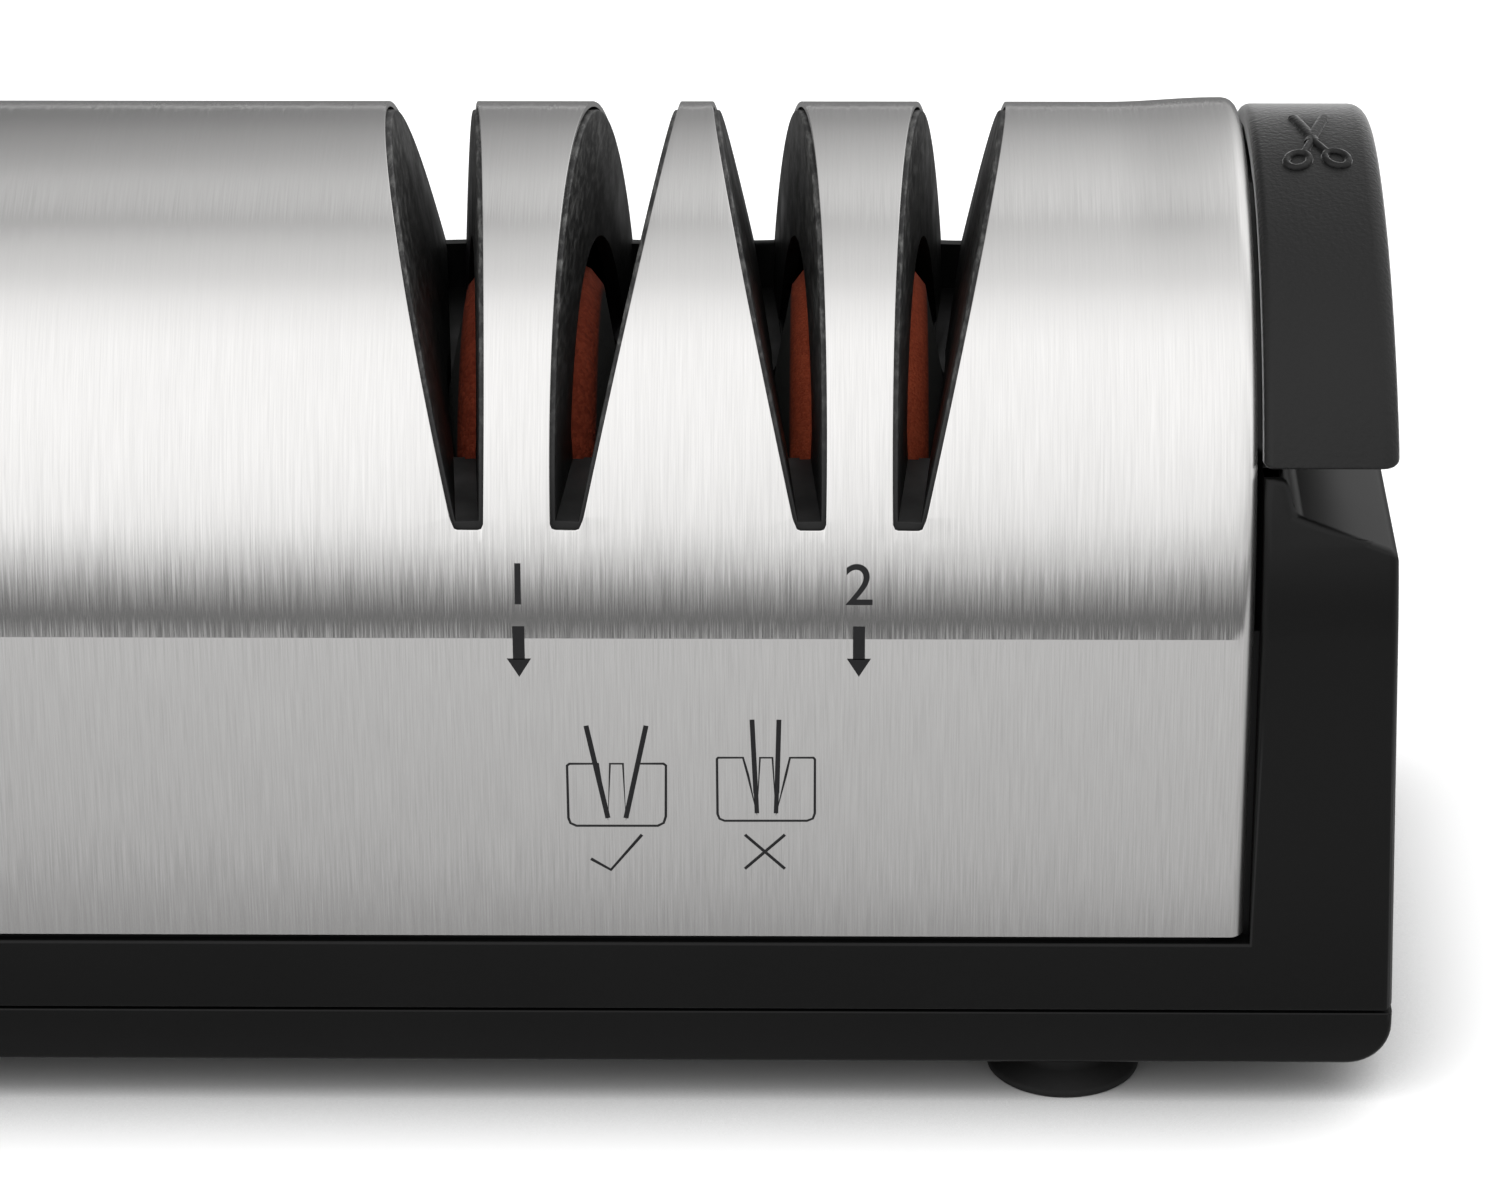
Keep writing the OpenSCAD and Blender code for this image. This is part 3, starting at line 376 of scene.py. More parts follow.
@dataclass(frozen=True)
class Finish:
    """What every finish has: a name, and nodes of its own.

    Attributes:
        name: what the surface is and how it was made, which names the material.
    """

    name: str

    def shade(self, tree: NodeTree, shader: Node) -> None:
        """Add the finish's nodes to a new material.

        Args:
            tree: the material's node tree.
            shader: its surface shader.
        """
        raise NotImplementedError

    def material(self) -> Material:
        """Find the finish's material, or make it the first time.

        Returns:
            The material.
        """
        found = bpy.data.materials.get(self.name)
        if found is None:
            found = bpy.data.materials.new(self.name)
            found.use_nodes = True
            tree = found.node_tree
            self.shade(tree, next(n for n in tree.nodes if n.type == "BSDF_PRINCIPLED"))
        return found


@dataclass(frozen=True)
class Surface(Finish):
    """A surface with two close colours in soft patches and a fine grain that stands up a little.

    Attributes:
        dark: darker colour.
        light: lighter colour.
        roughness: middle roughness.
        spread: how far the roughness strays each way.
        metallic: 1 for bare metal.
        specular: strength of the gloss of a plastic, a mineral or rubber.
        grain: size of the grain along X, Y and Z, in millimetres.
        depth: height of the grain in millimetres.
        patch: size of the patches in millimetres.
        sheen: soft brightness of a rough surface where it turns away from the eye.
    """

    dark: str = "#101010"
    light: str = "#161616"
    roughness: float = 0.5
    spread: float = 0.05
    metallic: float = 0.0
    specular: float = 0.5
    grain: Triple = (0.3, 0.3, 0.3)
    depth: float = 0.005
    patch: float = 12.0
    sheen: float = 0.0

    def shade(self, tree: NodeTree, shader: Node) -> None:
        """Add the patches, the grain and the relief.

        Args:
            tree: the material's node tree.
            shader: its surface shader.
        """
        add = partial(add_node, tree)
        place = add("TexCoord").outputs["Object"]
        grain_at = add("Mapping", {"Vector": place, "Scale": tuple(1 / (size * MM) for size in self.grain)})
        grain = add("TexNoise", {"Vector": grain_at, "Scale": 1.0, "Detail": 2.0, "Roughness": 0.55})
        patch = add("TexNoise", {"Vector": place, "Scale": 1 / (self.patch * MM), "Detail": 4.0})
        both = add("Math", {0: grain, 1: patch, 2: 0.25}, operation="MULTIPLY_ADD")
        colours = {COLOUR_A: linear(self.dark), COLOUR_B: linear(self.light)}
        colour = add("Mix", {0: both, **colours}, data_type="RGBA").outputs[MIXED]
        levels = {"To Min": self.roughness - self.spread, "To Max": self.roughness + self.spread}
        rough = add("MapRange", {"Value": patch, **NOISE, **levels})
        bump = add("Bump", {"Height": grain, "Strength": 1.0, "Distance": self.depth * MM})
        wire(tree, shader, {"Base Color": colour, "Roughness": rough, "Normal": bump})
        wire(tree, shader, {"Metallic": self.metallic})
        if not self.metallic:
            gloss = {"Specular IOR Level": self.specular, "Sheen Weight": self.sheen, "Sheen Roughness": 0.28}
            wire(tree, shader, gloss)


@dataclass(frozen=True)
class RubbedShadedSurface(Surface):
    """A moulded surface: pale scuffs of blades and a painted sheen higher up, painted shade lower down.

    Attributes:
        scuff_and_sheen: colour of the scuffs and of the painted sheen that they carry.
        scuffs: how many scuffs there are to a millimetre along X, Y and Z.
        scuff_and_sheen_z: heights between which the scuffs and their painted sheen come in, in millimetres.
        painted_shade_z: heights between which the painted shade goes away, in millimetres.
        painted_shade_level: how bright the surface is left in the deepest painted shade.
    """

    scuff_and_sheen: str = "#8A8A88"
    scuffs: Triple = (1.4, 0.35, 0.98)
    scuff_and_sheen_z: Pair = (68.0, 86.0)
    painted_shade_z: Pair = (65.0, 74.0)
    painted_shade_level: float = 0.27

    def shade(self, tree: NodeTree, shader: Node) -> None:
        """Add the moulded surface, then the scuffs with their painted sheen, and the painted shade.

        Args:
            tree: the material's node tree.
            shader: its surface shader.
        """
        super().shade(tree, shader)
        add = partial(add_node, tree)
        place = add("TexCoord").outputs["Object"]
        height = add("SeparateXYZ", {"Vector": place}).outputs["Z"]
        drawn = add("Mapping", {"Vector": place, "Scale": tuple(count / MM for count in self.scuffs)})
        rub = add("TexNoise", {"Vector": drawn, "Scale": 1.0, "Detail": 9.0, "Roughness": 0.72})
        rubbed = add("MapRange", {"Value": rub, "From Min": 0.47, "From Max": 0.85})
        # Scuffs, lighter towards the top: partly blade wear, partly painted sheen where light falls in from
        # above
        low, high = (z * MM for z in self.scuff_and_sheen_z)
        reach = add("MapRange", {"Value": height, "From Min": low, "From Max": high})
        mask = add("Math", {0: rubbed, 1: reach}, operation="MULTIPLY")
        clean = shader.inputs["Base Color"].links[0].from_socket
        colours = {COLOUR_A: clean, COLOUR_B: linear(self.scuff_and_sheen)}
        scuffs_and_sheen = add("Mix", {0: mask, **colours}, data_type="RGBA").outputs[MIXED]
        # Painted shade: the colour darkens towards the bottom of the slots
        low, high = (z * MM for z in self.painted_shade_z)
        left = add("MapRange", {"Value": height, "From Min": low, "From Max": high, "To Min": self.painted_shade_level})
        colours = {COLOUR_A: scuffs_and_sheen, COLOUR_B: left}
        colour = add("Mix", {0: 1.0, **colours}, data_type="RGBA", blend_type="MULTIPLY").outputs[MIXED]
        wire(tree, shader, {"Base Color": colour})


@dataclass(frozen=True)
class BrushedSheet(Finish):
    """Stainless sheet brushed up and over the dome.

    The belt leaves fine scratches across the length, so the gloss is drawn out along X and stays fairly
    sharp up and down.

    Attributes:
        dark: colour in the deeper scratches.
        light: colour of the land between them.
        scratch: width of a fine scratch in millimetres, a little coarser than real so that it shows.
        streak: width of a broad streak in millimetres.
        run: length of the scratches in millimetres; the streaks are five times as long.
        share: how much of the pattern the streaks make up.
        rough: roughness in the deeper scratches and on the land between them.
        depth: depth of the scratches in millimetres.
        drawn: how far the gloss is drawn out across the scratches.
        tilt: how far a scratch's floor may lean up or down, as a slope.
    """

    dark: str = "#CAC9C8"
    light: str = "#D4D3D2"
    scratch: float = 0.15
    streak: float = 0.5
    run: float = 8.0
    share: float = 0.15
    rough: Pair = (0.265, 0.215)
    depth: float = 0.002
    drawn: float = 0.9
    tilt: float = 0.07

    def shade(self, tree: NodeTree, shader: Node) -> None:
        """Add the scratches, the streaks and the drawn-out gloss.

        Args:
            tree: the material's node tree.
            shader: its surface shader.
        """
        add = partial(add_node, tree)
        place = add("TexCoord").outputs["Object"]
        lines = []
        for width, run in ((self.scratch, self.run), (self.streak, self.run * 5)):
            scale = (1 / (width * MM), 1 / (run * MM), 1 / (run * MM))
            at = add("Mapping", {"Vector": place, "Scale": scale})
            lines.append(add("TexNoise", {"Vector": at, "Scale": 1.0, "Detail": 3.0, "Roughness": 0.6}))
        fine, broad = lines
        mixed = add("Mix", {"Factor": self.share, "A": fine, "B": broad}, data_type="FLOAT")
        spread = add("MapRange", {"Value": mixed, **NOISE})
        colours = {COLOUR_A: linear(self.dark), COLOUR_B: linear(self.light)}
        colour = add("Mix", {0: spread, **colours}, data_type="RGBA").outputs[MIXED]
        rough = add("MapRange", {"Value": spread, "To Min": self.rough[0], "To Max": self.rough[1]})
        bump = add("Bump", {"Height": fine, "Strength": 1.0, "Distance": self.depth * MM})
        up = add("VectorMath", {0: bump, 1: (1, 0, 0)}, operation="CROSS_PRODUCT")
        lean = add("MapRange", {"Value": fine, "To Min": -self.tilt, "To Max": self.tilt})
        leant = add("VectorMath", {0: up, 1: lean, 2: bump}, operation="MULTIPLY_ADD")
        facing = add("VectorMath", {0: leant}, operation="NORMALIZE")
        along = add("Tangent", direction_type="UV_MAP")
        wire(tree, shader, {"Base Color": colour, "Roughness": rough, "Normal": facing, "Tangent": along})
        wire(tree, shader, {"Metallic": 1.0, "Anisotropic": self.drawn})


@dataclass(frozen=True)
class BondedStone(Finish):
    """Aluminium oxide grit in a rust-coloured bond, pressed, fired and trued.

    The grit is a band along the wheel's rim; inside it lies a grey backing.

    Attributes:
        grit: size of the grit in millimetres.
        bond: colour of the bond.
        bright: colour of the grit's broken faces.
        band: inner radius of the band of grit in millimetres.
        backing: colour of the backing.
        cloud: size of the paler clouds in the grit, in millimetres.
    """

    grit: float = 0.3
    bond: str = "#8A2F16"
    bright: str = "#C2593A"
    band: float = 21.6
    backing: str = "#3C3D3B"
    cloud: float = 2.5

    def shade(self, tree: NodeTree, shader: Node) -> None:
        """Add the grit and its relief.

        Args:
            tree: the material's node tree.
            shader: its surface shader.
        """
        add = partial(add_node, tree)
        place = add("TexCoord").outputs["Object"]
        grit = add("TexVoronoi", {"Vector": place, "Scale": 1 / (self.grit * MM)}).outputs
        cloud = add("TexNoise", {"Vector": place, "Scale": 1 / (self.cloud * MM), "Detail": 5.0})
        speck = add("SeparateColor", {"Color": grit["Color"]})
        mixed = add("Mix", {"Factor": 0.5, "A": speck, "B": cloud}, data_type="FLOAT")
        colours = {COLOUR_A: linear(self.bond), COLOUR_B: linear(self.bright)}
        colour = add("Mix", {0: mixed, **colours}, data_type="RGBA").outputs[MIXED]
        at = add("Mapping", {"Vector": place, "Location": (0, 0, -AXIS_Z * MM), "Scale": (0, 1, 1)})
        radius = add("VectorMath", {0: at}, operation="LENGTH").outputs["Value"]
        low, high = (self.band - 0.5) * MM, (self.band + 0.5) * MM
        share = add("MapRange", {"Value": radius, "From Min": low, "From Max": high})
        colours = {COLOUR_A: linear(self.backing), COLOUR_B: colour}
        colour = add("Mix", {0: share, **colours}, data_type="RGBA").outputs[MIXED]
        relief = {"Height": grit["Distance"], "Strength": 1.0, "Distance": 0.2 * self.grit * MM}
        bump = add("Bump", relief, invert=True)
        wire(tree, shader, {"Base Color": colour, "Normal": bump})
        wire(tree, shader, {"Roughness": 0.9, "Specular IOR Level": 0.3})


# Stainless sheet, belt-brushed and bent: long soft gloss across the grain
STAINLESS = BrushedSheet("stainless_brushed")
# ABS from a lightly blasted mould: even, nearly black, soft gloss
HOUSING_ABS = Surface(
    "abs_moulded_fine", "#090909", "#0E0E0E", 0.32, 0.04, 0.0, 0.18, (0.25, 0.25, 0.25), 0.004, 30
)
# ABS from a spark-eroded mould: the leathery grain of the cover
COVER_ABS = Surface(
    "abs_spark_eroded", "#0C0C0C", "#141414", 0.46, 0.05, 0.0, 0.26, (0.45, 0.45, 0.45), 0.08, 20, 0.8
)
# ABS from a polished mould: the slot liners, with drag marks of blades, a painted sheen and painted shade
GUIDE_ABS = RubbedShadedSurface(
    "abs_moulded_rubbed_painted_light", "#1D1D1D", "#2E2E2E", 0.48, 0.12, 0.0, 0.3, (0.6, 3.0, 3.0), 0.004, 6
)
# Switch moulding, polycarbonate with a fine even sheen
SWITCH_PC = Surface(
    "polycarbonate_moulded", "#0D0D0E", "#141415", 0.3, 0.04, 0.0, 0.4, (0.3, 0.3, 0.3), 0.003, 15
)
# Nylon with short glass fibres: dull, with pale flecks along the flow
GLASS_NYLON = Surface(
    "nylon_glass_filled", "#1B1B1C", "#2C2C2D", 0.62, 0.06, 0.0, 0.4, (0.8, 0.25, 0.25), 0.01, 8
)
# Compression-moulded rubber: matt, slightly dusty
RUBBER = Surface("rubber_moulded", "#0B0B0B", "#161616", 0.72, 0.06, 0.0, 0.25, (0.35, 0.35, 0.35), 0.01, 5)
# Sheet steel, zinc-plated: bright with small cloudy spangles
PLATED = Surface("steel_zinc_plated", "#9EA2A6", "#C3C7CA", 0.34, 0.1, 1.0, 0.5, (1.2, 1.2, 1.2), 0.002, 3)
# Black-passivated screw steel
SCREW = Surface(
    "steel_black_passivated", "#3A3B3D", "#595A5C", 0.4, 0.08, 1.0, 0.5, (0.3, 0.3, 0.3), 0.004, 1.5
)
# Centreless-ground shaft steel: rings so fine that they are drawn a little coarser
GROUND = Surface("steel_ground", "#B4B6B8", "#D2D3D5", 0.2, 0.05, 1.0, 0.5, (0.12, 40, 40), 0.0015, 4)
# Stack of stamped sheets 0.5 mm thick, seen on edge
LAMINATED = Surface("steel_laminated", "#4B4C50", "#8C8E93", 0.45, 0.1, 1.0, 0.5, (0.5, 60, 60), 0.03, 5)
# Zinc as it comes from the die: dull, faint flow marks
CAST_ZINC = Surface("zinc_die_cast", "#8B8E92", "#B1B4B7", 0.48, 0.08, 1.0, 0.5, (0.9, 0.9, 0.9), 0.008, 6)
# Turned aluminium: fine feed rings round the axis
TURNED_ALUMINIUM = Surface(
    "aluminium_turned", "#B9BBBD", "#DADBDC", 0.3, 0.06, 1.0, 0.5, (0.2, 50, 50), 0.003, 5
)
# Sintered bronze, porous and oily
BRONZE = Surface("bronze_sintered", "#8A6A3C", "#B48F57", 0.42, 0.1, 1.0, 0.5, (0.15, 0.15, 0.15), 0.008, 2)
# Enamelled copper wire 0.4 mm thick, wound side by side
COPPER = Surface("copper_enamelled", "#7A3217", "#B8622F", 0.28, 0.08, 1.0, 0.5, (0.4, 0.4, 8.0), 0.06, 3)
# Pressed and fired ferrite
FERRITE = Surface("ferrite_sintered", "#232426", "#3A3B3E", 0.6, 0.08, 0.0, 0.4, (0.3, 0.3, 0.3), 0.01, 4)
# Pressed carbon, soft grey sheen
CARBON = Surface("carbon_pressed", "#17181A", "#2B2C2F", 0.5, 0.08, 0.0, 0.5, (0.1, 0.1, 0.1), 0.004, 1.5)
# Epoxy sheet under green solder mask
SOLDER_MASK = Surface(
    "epoxy_solder_mask", "#0E3B22", "#1D6A3B", 0.3, 0.05, 0.0, 0.5, (1.2, 1.2, 1.2), 0.012, 2.2
)
# Moulded cases of capacitor, bridge and terminals
COMPONENT = Surface(
    "epoxy_case_moulded", "#14161F", "#232739", 0.45, 0.08, 0.0, 0.45, (0.2, 0.2, 0.2), 0.005, 3
)
# Soft PVC on the inner wires
PVC = Surface("pvc_insulation", "#6E1512", "#9A211B", 0.4, 0.05, 0.0, 0.45, (0.4, 0.4, 0.4), 0.005, 3)
# Screen-printed ink, thin and matt
INK = Surface("ink_printed", "#0E0E10", "#1A1A1C", 0.55, 0.05, 0.0, 0.3, (0.1, 0.1, 0.1), 0.001, 0.6)
# White ink pad-printed on the rocker
WHITE_INK = Surface(
    "ink_pad_printed_white", "#CFCFCB", "#E6E6E2", 0.5, 0.05, 0.0, 0.4, (0.1, 0.1, 0.1), 0.001, 0.5
)
COARSE_STONE = BondedStone("stone_oxide_coarse", 0.42, "#6E2511", "#AC4C31")
FINE_STONE = BondedStone("stone_oxide_fine", 0.24, "#8A3018", "#C45C3B")
# The scissors stone is grit all through
SCISSORS_STONE = BondedStone("stone_oxide_scissors", 0.24, "#97341A", "#C9603F", 0.0)

# The CAD nodes whose shape is shown as it is, by their finish
NODE_FINISHES: tuple[tuple[Finish, tuple[str, ...]], ...] = (
    (PLATED, ("chassis_plate", "motor_can", "motor_straps", "shaft_nut")),
    (CAST_ZINC, ("left_pedestal", "right_pedestal")),
    (BRONZE, ("left_bush", "right_bush")),
    (GLASS_NYLON, ("motor_end_bell", "motor_cradle", "cooling_fan", "coarse_hub", "fine_hub")),
    (FERRITE, ("motor_magnets",)),
    (CARBON, ("motor_brushes",)),
    (SOLDER_MASK, ("circuit_board",)),
    (COMPONENT, ("board_parts",)),
    (PVC, ("inner_leads",)),
    (SCREW, ("cover_screws", "chassis_screws", "strap_screws", "pedestal_screws", "cradle_screws")),
    (LAMINATED, ("armature_core",)),
    (COPPER, ("armature_windings", "commutator")),
    (GROUND, ("motor_shaft", "wheel_shaft")),
    (TURNED_ALUMINIUM, ("shaft_coupling", "left_spacer", "middle_spacer", "right_spacer", "scissors_hub")),
)


# ---- Steel shell ----


@dataclass
class SteelShell:
    """The arched steel sheet with its slots, the switch's window and the rolled ends.

    Attributes:
        sheet: thickness that shows at the cut edges.
        half: half the length.
        foot_z: lower edge.
        slot_z: lower ends of the slots.
        slot_inner: distance from a pair's middle to a slot's inner edge, at the front.
        slot_w: width of a slot at its lower front end.
        toe: how far the slots turn outwards towards the back, in degrees.
        inner_lean: lean of the inner edges in degrees.
        outer_lean: lean of the outer edges in degrees.
        window_x: sides of the switch's window.
        window_z: lower and upper edge of that window.
        roll: radius of the rolled ends.
        lip: depth of the rolled ends.
        flare: how far the dome's ends rise before they roll over.
        flare_x: places along the body between which they rise.
        break_angle: how far the dome starts off the flat, in degrees.
        break_run: how fast that fades, in radians.
        corner: rounding of the slots' corners.
        edge: rounding of the cut edges.
    """

    sheet: float = 0.6
    half: float = 97.4
    foot_z: float = 19.45
    slot_z: float = 64.85
    slot_inner: float = 3.24
    slot_w: float = 3.05
    toe: float = 4.2
    inner_lean: float = 2.2
    outer_lean: float = 11.3
    window_x: Pair = (-71.5, -52.5)
    window_z: Pair = (30.025, 43.025)
    roll: float = 1.5
    lip: float = 2.0
    flare: float = 0.5
    flare_x: Pair = (84.0, 95.4)
    break_angle: float = 3.0
    break_run: float = 0.15
    corner: float = 0.5
    edge: float = 0.12

    def point(self, x: float, s: float, h: float = 0.0) -> Vector:
        """Find a place on the shell.

        Args:
            x: place along the body in millimetres.
            s: way over the surface from the front crease, negative down the front.
            h: height above the surface.

        Returns:
            The place in metres.
        """
        arc = math.pi * SHELL_R
        if s < 0:
            return Vector((x, -SHELL_R - h, CREASE_Z + s)) * MM
        if s > arc:
            return Vector((x, SHELL_R + h, CREASE_Z - (s - arc))) * MM
        phi = s / SHELL_R
        near = min(phi, math.pi - phi)
        dip = SHELL_R * math.tan(math.radians(self.break_angle)) * near * math.exp(-near / self.break_run)
        rise = self.flare * smoothstep(*self.flare_x, abs(x)) * smoothstep(0, 0.7, near)
        r = SHELL_R - dip + rise + h
        return Vector((x, -r * math.cos(phi), CREASE_Z + r * math.sin(phi))) * MM

    def slot_edges(self, s: float) -> list[float]:
        """Find where the eight slot edges lie.

        Args:
            s: way over the surface from the front crease.

        Returns:
            The eight places along X in millimetres, from left to right.
        """
        end = SHELL_R * math.asin((self.slot_z - CREASE_Z) / SHELL_R)
        at = self.point(0, min(max(s, end), math.pi * SHELL_R - end)) / MM
        toe = math.radians(self.toe)
        up = at.z - self.slot_z
        back = (at.y + SHELL_R) * math.tan(toe)
        a = self.slot_inner - up * math.tan(math.radians(self.inner_lean)) / math.cos(toe) + back
        b = self.slot_inner + self.slot_w + up * math.tan(math.radians(self.outer_lean)) / math.cos(toe)
        b += back
        return [c + d for c in PAIRS_X for d in (-b, -a, a, b)]

    def rows(self) -> tuple[list[float], dict[str, int]]:
        """List the mesh rows up the front, over the dome and down the back.

        Returns:
            The way over the surface of each row, and the numbers of the rows that edges follow.
        """
        end = SHELL_R * math.asin((self.slot_z - CREASE_Z) / SHELL_R)
        arc = math.pi * SHELL_R
        foot = self.foot_z - CREASE_Z
        stops = [
            (foot, 4), (self.window_z[0] - CREASE_Z, 5), (self.window_z[1] - CREASE_Z, 4),
            (0.0, 8), (end, 76), (arc - end, 8), (arc, 8), (arc - foot, 0),
        ]
        made: list[float] = []
        marks: list[int] = []
        for (a, n), (b, _) in zip(stops, stops[1:]):
            marks.append(len(made))
            made += [a + (b - a) * i / n for i in range(n)]
        marks.append(len(made))
        made.append(stops[-1][0])
        names = ("foot", "window_low", "window_high", "crease", "slot_low", "slot_high", "back", "end")
        return made, dict(zip(names, marks))

    def columns(self) -> tuple[list[tuple[int, float, float]], list[int]]:
        """List the mesh columns from left to right.

        Returns:
            For each column the panel that it is in, its share of that panel and its drop below the
            surface, and the number of the first column of each panel.
        """
        turn = [math.radians(a) for a in (90, 72, 54, 36, 18)]
        left = [(-1, -self.half, -self.lip)]
        left += [
            (-1, -self.half + self.roll * (1 - math.sin(a)), -self.roll * (1 - math.cos(a))) for a in turn
        ]
        round_ends = (0, 0.05, 0.17, 0.5, 0.83, 0.95)
        shares: list[Sequence[float]] = []
        for n in (6, 5, 16, 0, 3, 0, 6, 0, 3, 0, 5, 12):
            shares.append([i / n for i in range(n)] if n else round_ends)
        made = list(left)
        firsts = []
        for panel, parts in enumerate(shares):
            firsts.append(len(made))
            made += [(panel, share, 0.0) for share in parts]
        firsts.append(len(made))
        made.append((len(shares) - 1, 1.0, 0.0))
        made += [(-1, -x, drop) for _, x, drop in reversed(left)]
        return made, firsts

    def build(self) -> Object:
        """Make the shell.

        Returns:
            The finished mesh.
        """
        rows, at = self.rows()
        columns, firsts = self.columns()
        nx, ny = len(columns) - 1, len(rows) - 1
        deselect()
        bpy.ops.mesh.primitive_grid_add(x_subdivisions=nx, y_subdivisions=ny, size=1, calc_uvs=True)
        piece = bpy.context.object
        piece.name = piece.data.name = "shell_brushed"
        grid: dict[tuple[int, int], int] = {}
        for v in piece.data.vertices:
            i, j = round((v.co.x + 0.5) * nx), round((v.co.y + 0.5) * ny)
            grid[(i, j)] = v.index
        for (i, j), index in grid.items():
            panel, share, drop = columns[i]
            s = rows[j]
            if panel < 0:
                x = share
            else:
                stops = [self.roll - self.half, *self.window_x, *self.slot_edges(s)]
                stops += [self.flare_x[0], self.half - self.roll]
                x = stops[panel] + (stops[panel + 1] - stops[panel]) * share
                if panel in SLOT_PANELS or (share == 0 and panel - 1 in SLOT_PANELS):
                    near = 0.0 if share in (0, 1) else min(share, 1 - share) * self.slot_w
                    part = 1 - min(near, self.corner) / self.corner
                    lift = self.corner * (1 - math.sqrt(1 - part**2))
                    s += lift if j == at["slot_low"] else -lift if j == at["slot_high"] else 0.0
            piece.data.vertices[index].co = self.point(x, s, drop)
        self.cut(piece, grid, firsts, at)
        apply_modifier(piece, "SOLIDIFY", thickness=self.sheet * MM, offset=-1.0, use_even_offset=True)
        apply_modifier(
            piece, "BEVEL", width=self.edge * MM, segments=2, limit_method="ANGLE",
            angle_limit=math.radians(50), use_clamp_overlap=False,
        )
        self.crease(piece)
        smooth(piece, 40)
        return piece

    def cut(
        self,
        piece: Object,
        grid: dict[tuple[int, int], int],
        firsts: Sequence[int],
        at: dict[str, int],
    ) -> None:
        """Cut the slots and the switch's window out of the sheet.

        Args:
            piece: the wrapped sheet.
            grid: vertex number of each column and row.
            firsts: first column of each panel.
            at: rows that edges follow.
        """
        place = {index: key for key, index in grid.items()}
        doomed = set()
        for face in piece.data.polygons:
            i = min(place[v][0] for v in face.vertices)
            j = min(place[v][1] for v in face.vertices)
            in_slot = any(firsts[p] <= i < firsts[p + 1] for p in SLOT_PANELS)
            if in_slot and at["slot_low"] <= j < at["slot_high"]:
                doomed.add(face.index)
            if firsts[1] <= i < firsts[2] and at["window_low"] <= j < at["window_high"]:
                doomed.add(face.index)
        with editing(piece):
            bpy.ops.mesh.select_mode(type="FACE")
            bpy.ops.mesh.select_all(action="DESELECT")
            bm = bmesh.from_edit_mesh(piece.data)
            bm.faces.ensure_lookup_table()
            for index in doomed:
                bm.faces[index].select_set(True)
            bmesh.update_edit_mesh(piece.data)
            bpy.ops.mesh.delete(type="FACE")

    def crease(self, piece: Object) -> None:
        """Mark the bends at the feet of the dome as sharp.

        Args:
            piece: the sheet.
        """
        for edge in piece.data.edges:
            ends = [piece.data.vertices[v].co / MM for v in edge.vertices]
            if all(abs(p.z - CREASE_Z) < 0.01 and abs(abs(p.y) - SHELL_R) < 0.02 for p in ends):
                edge.use_edge_sharp = True


# ---- Marks on the shell ----


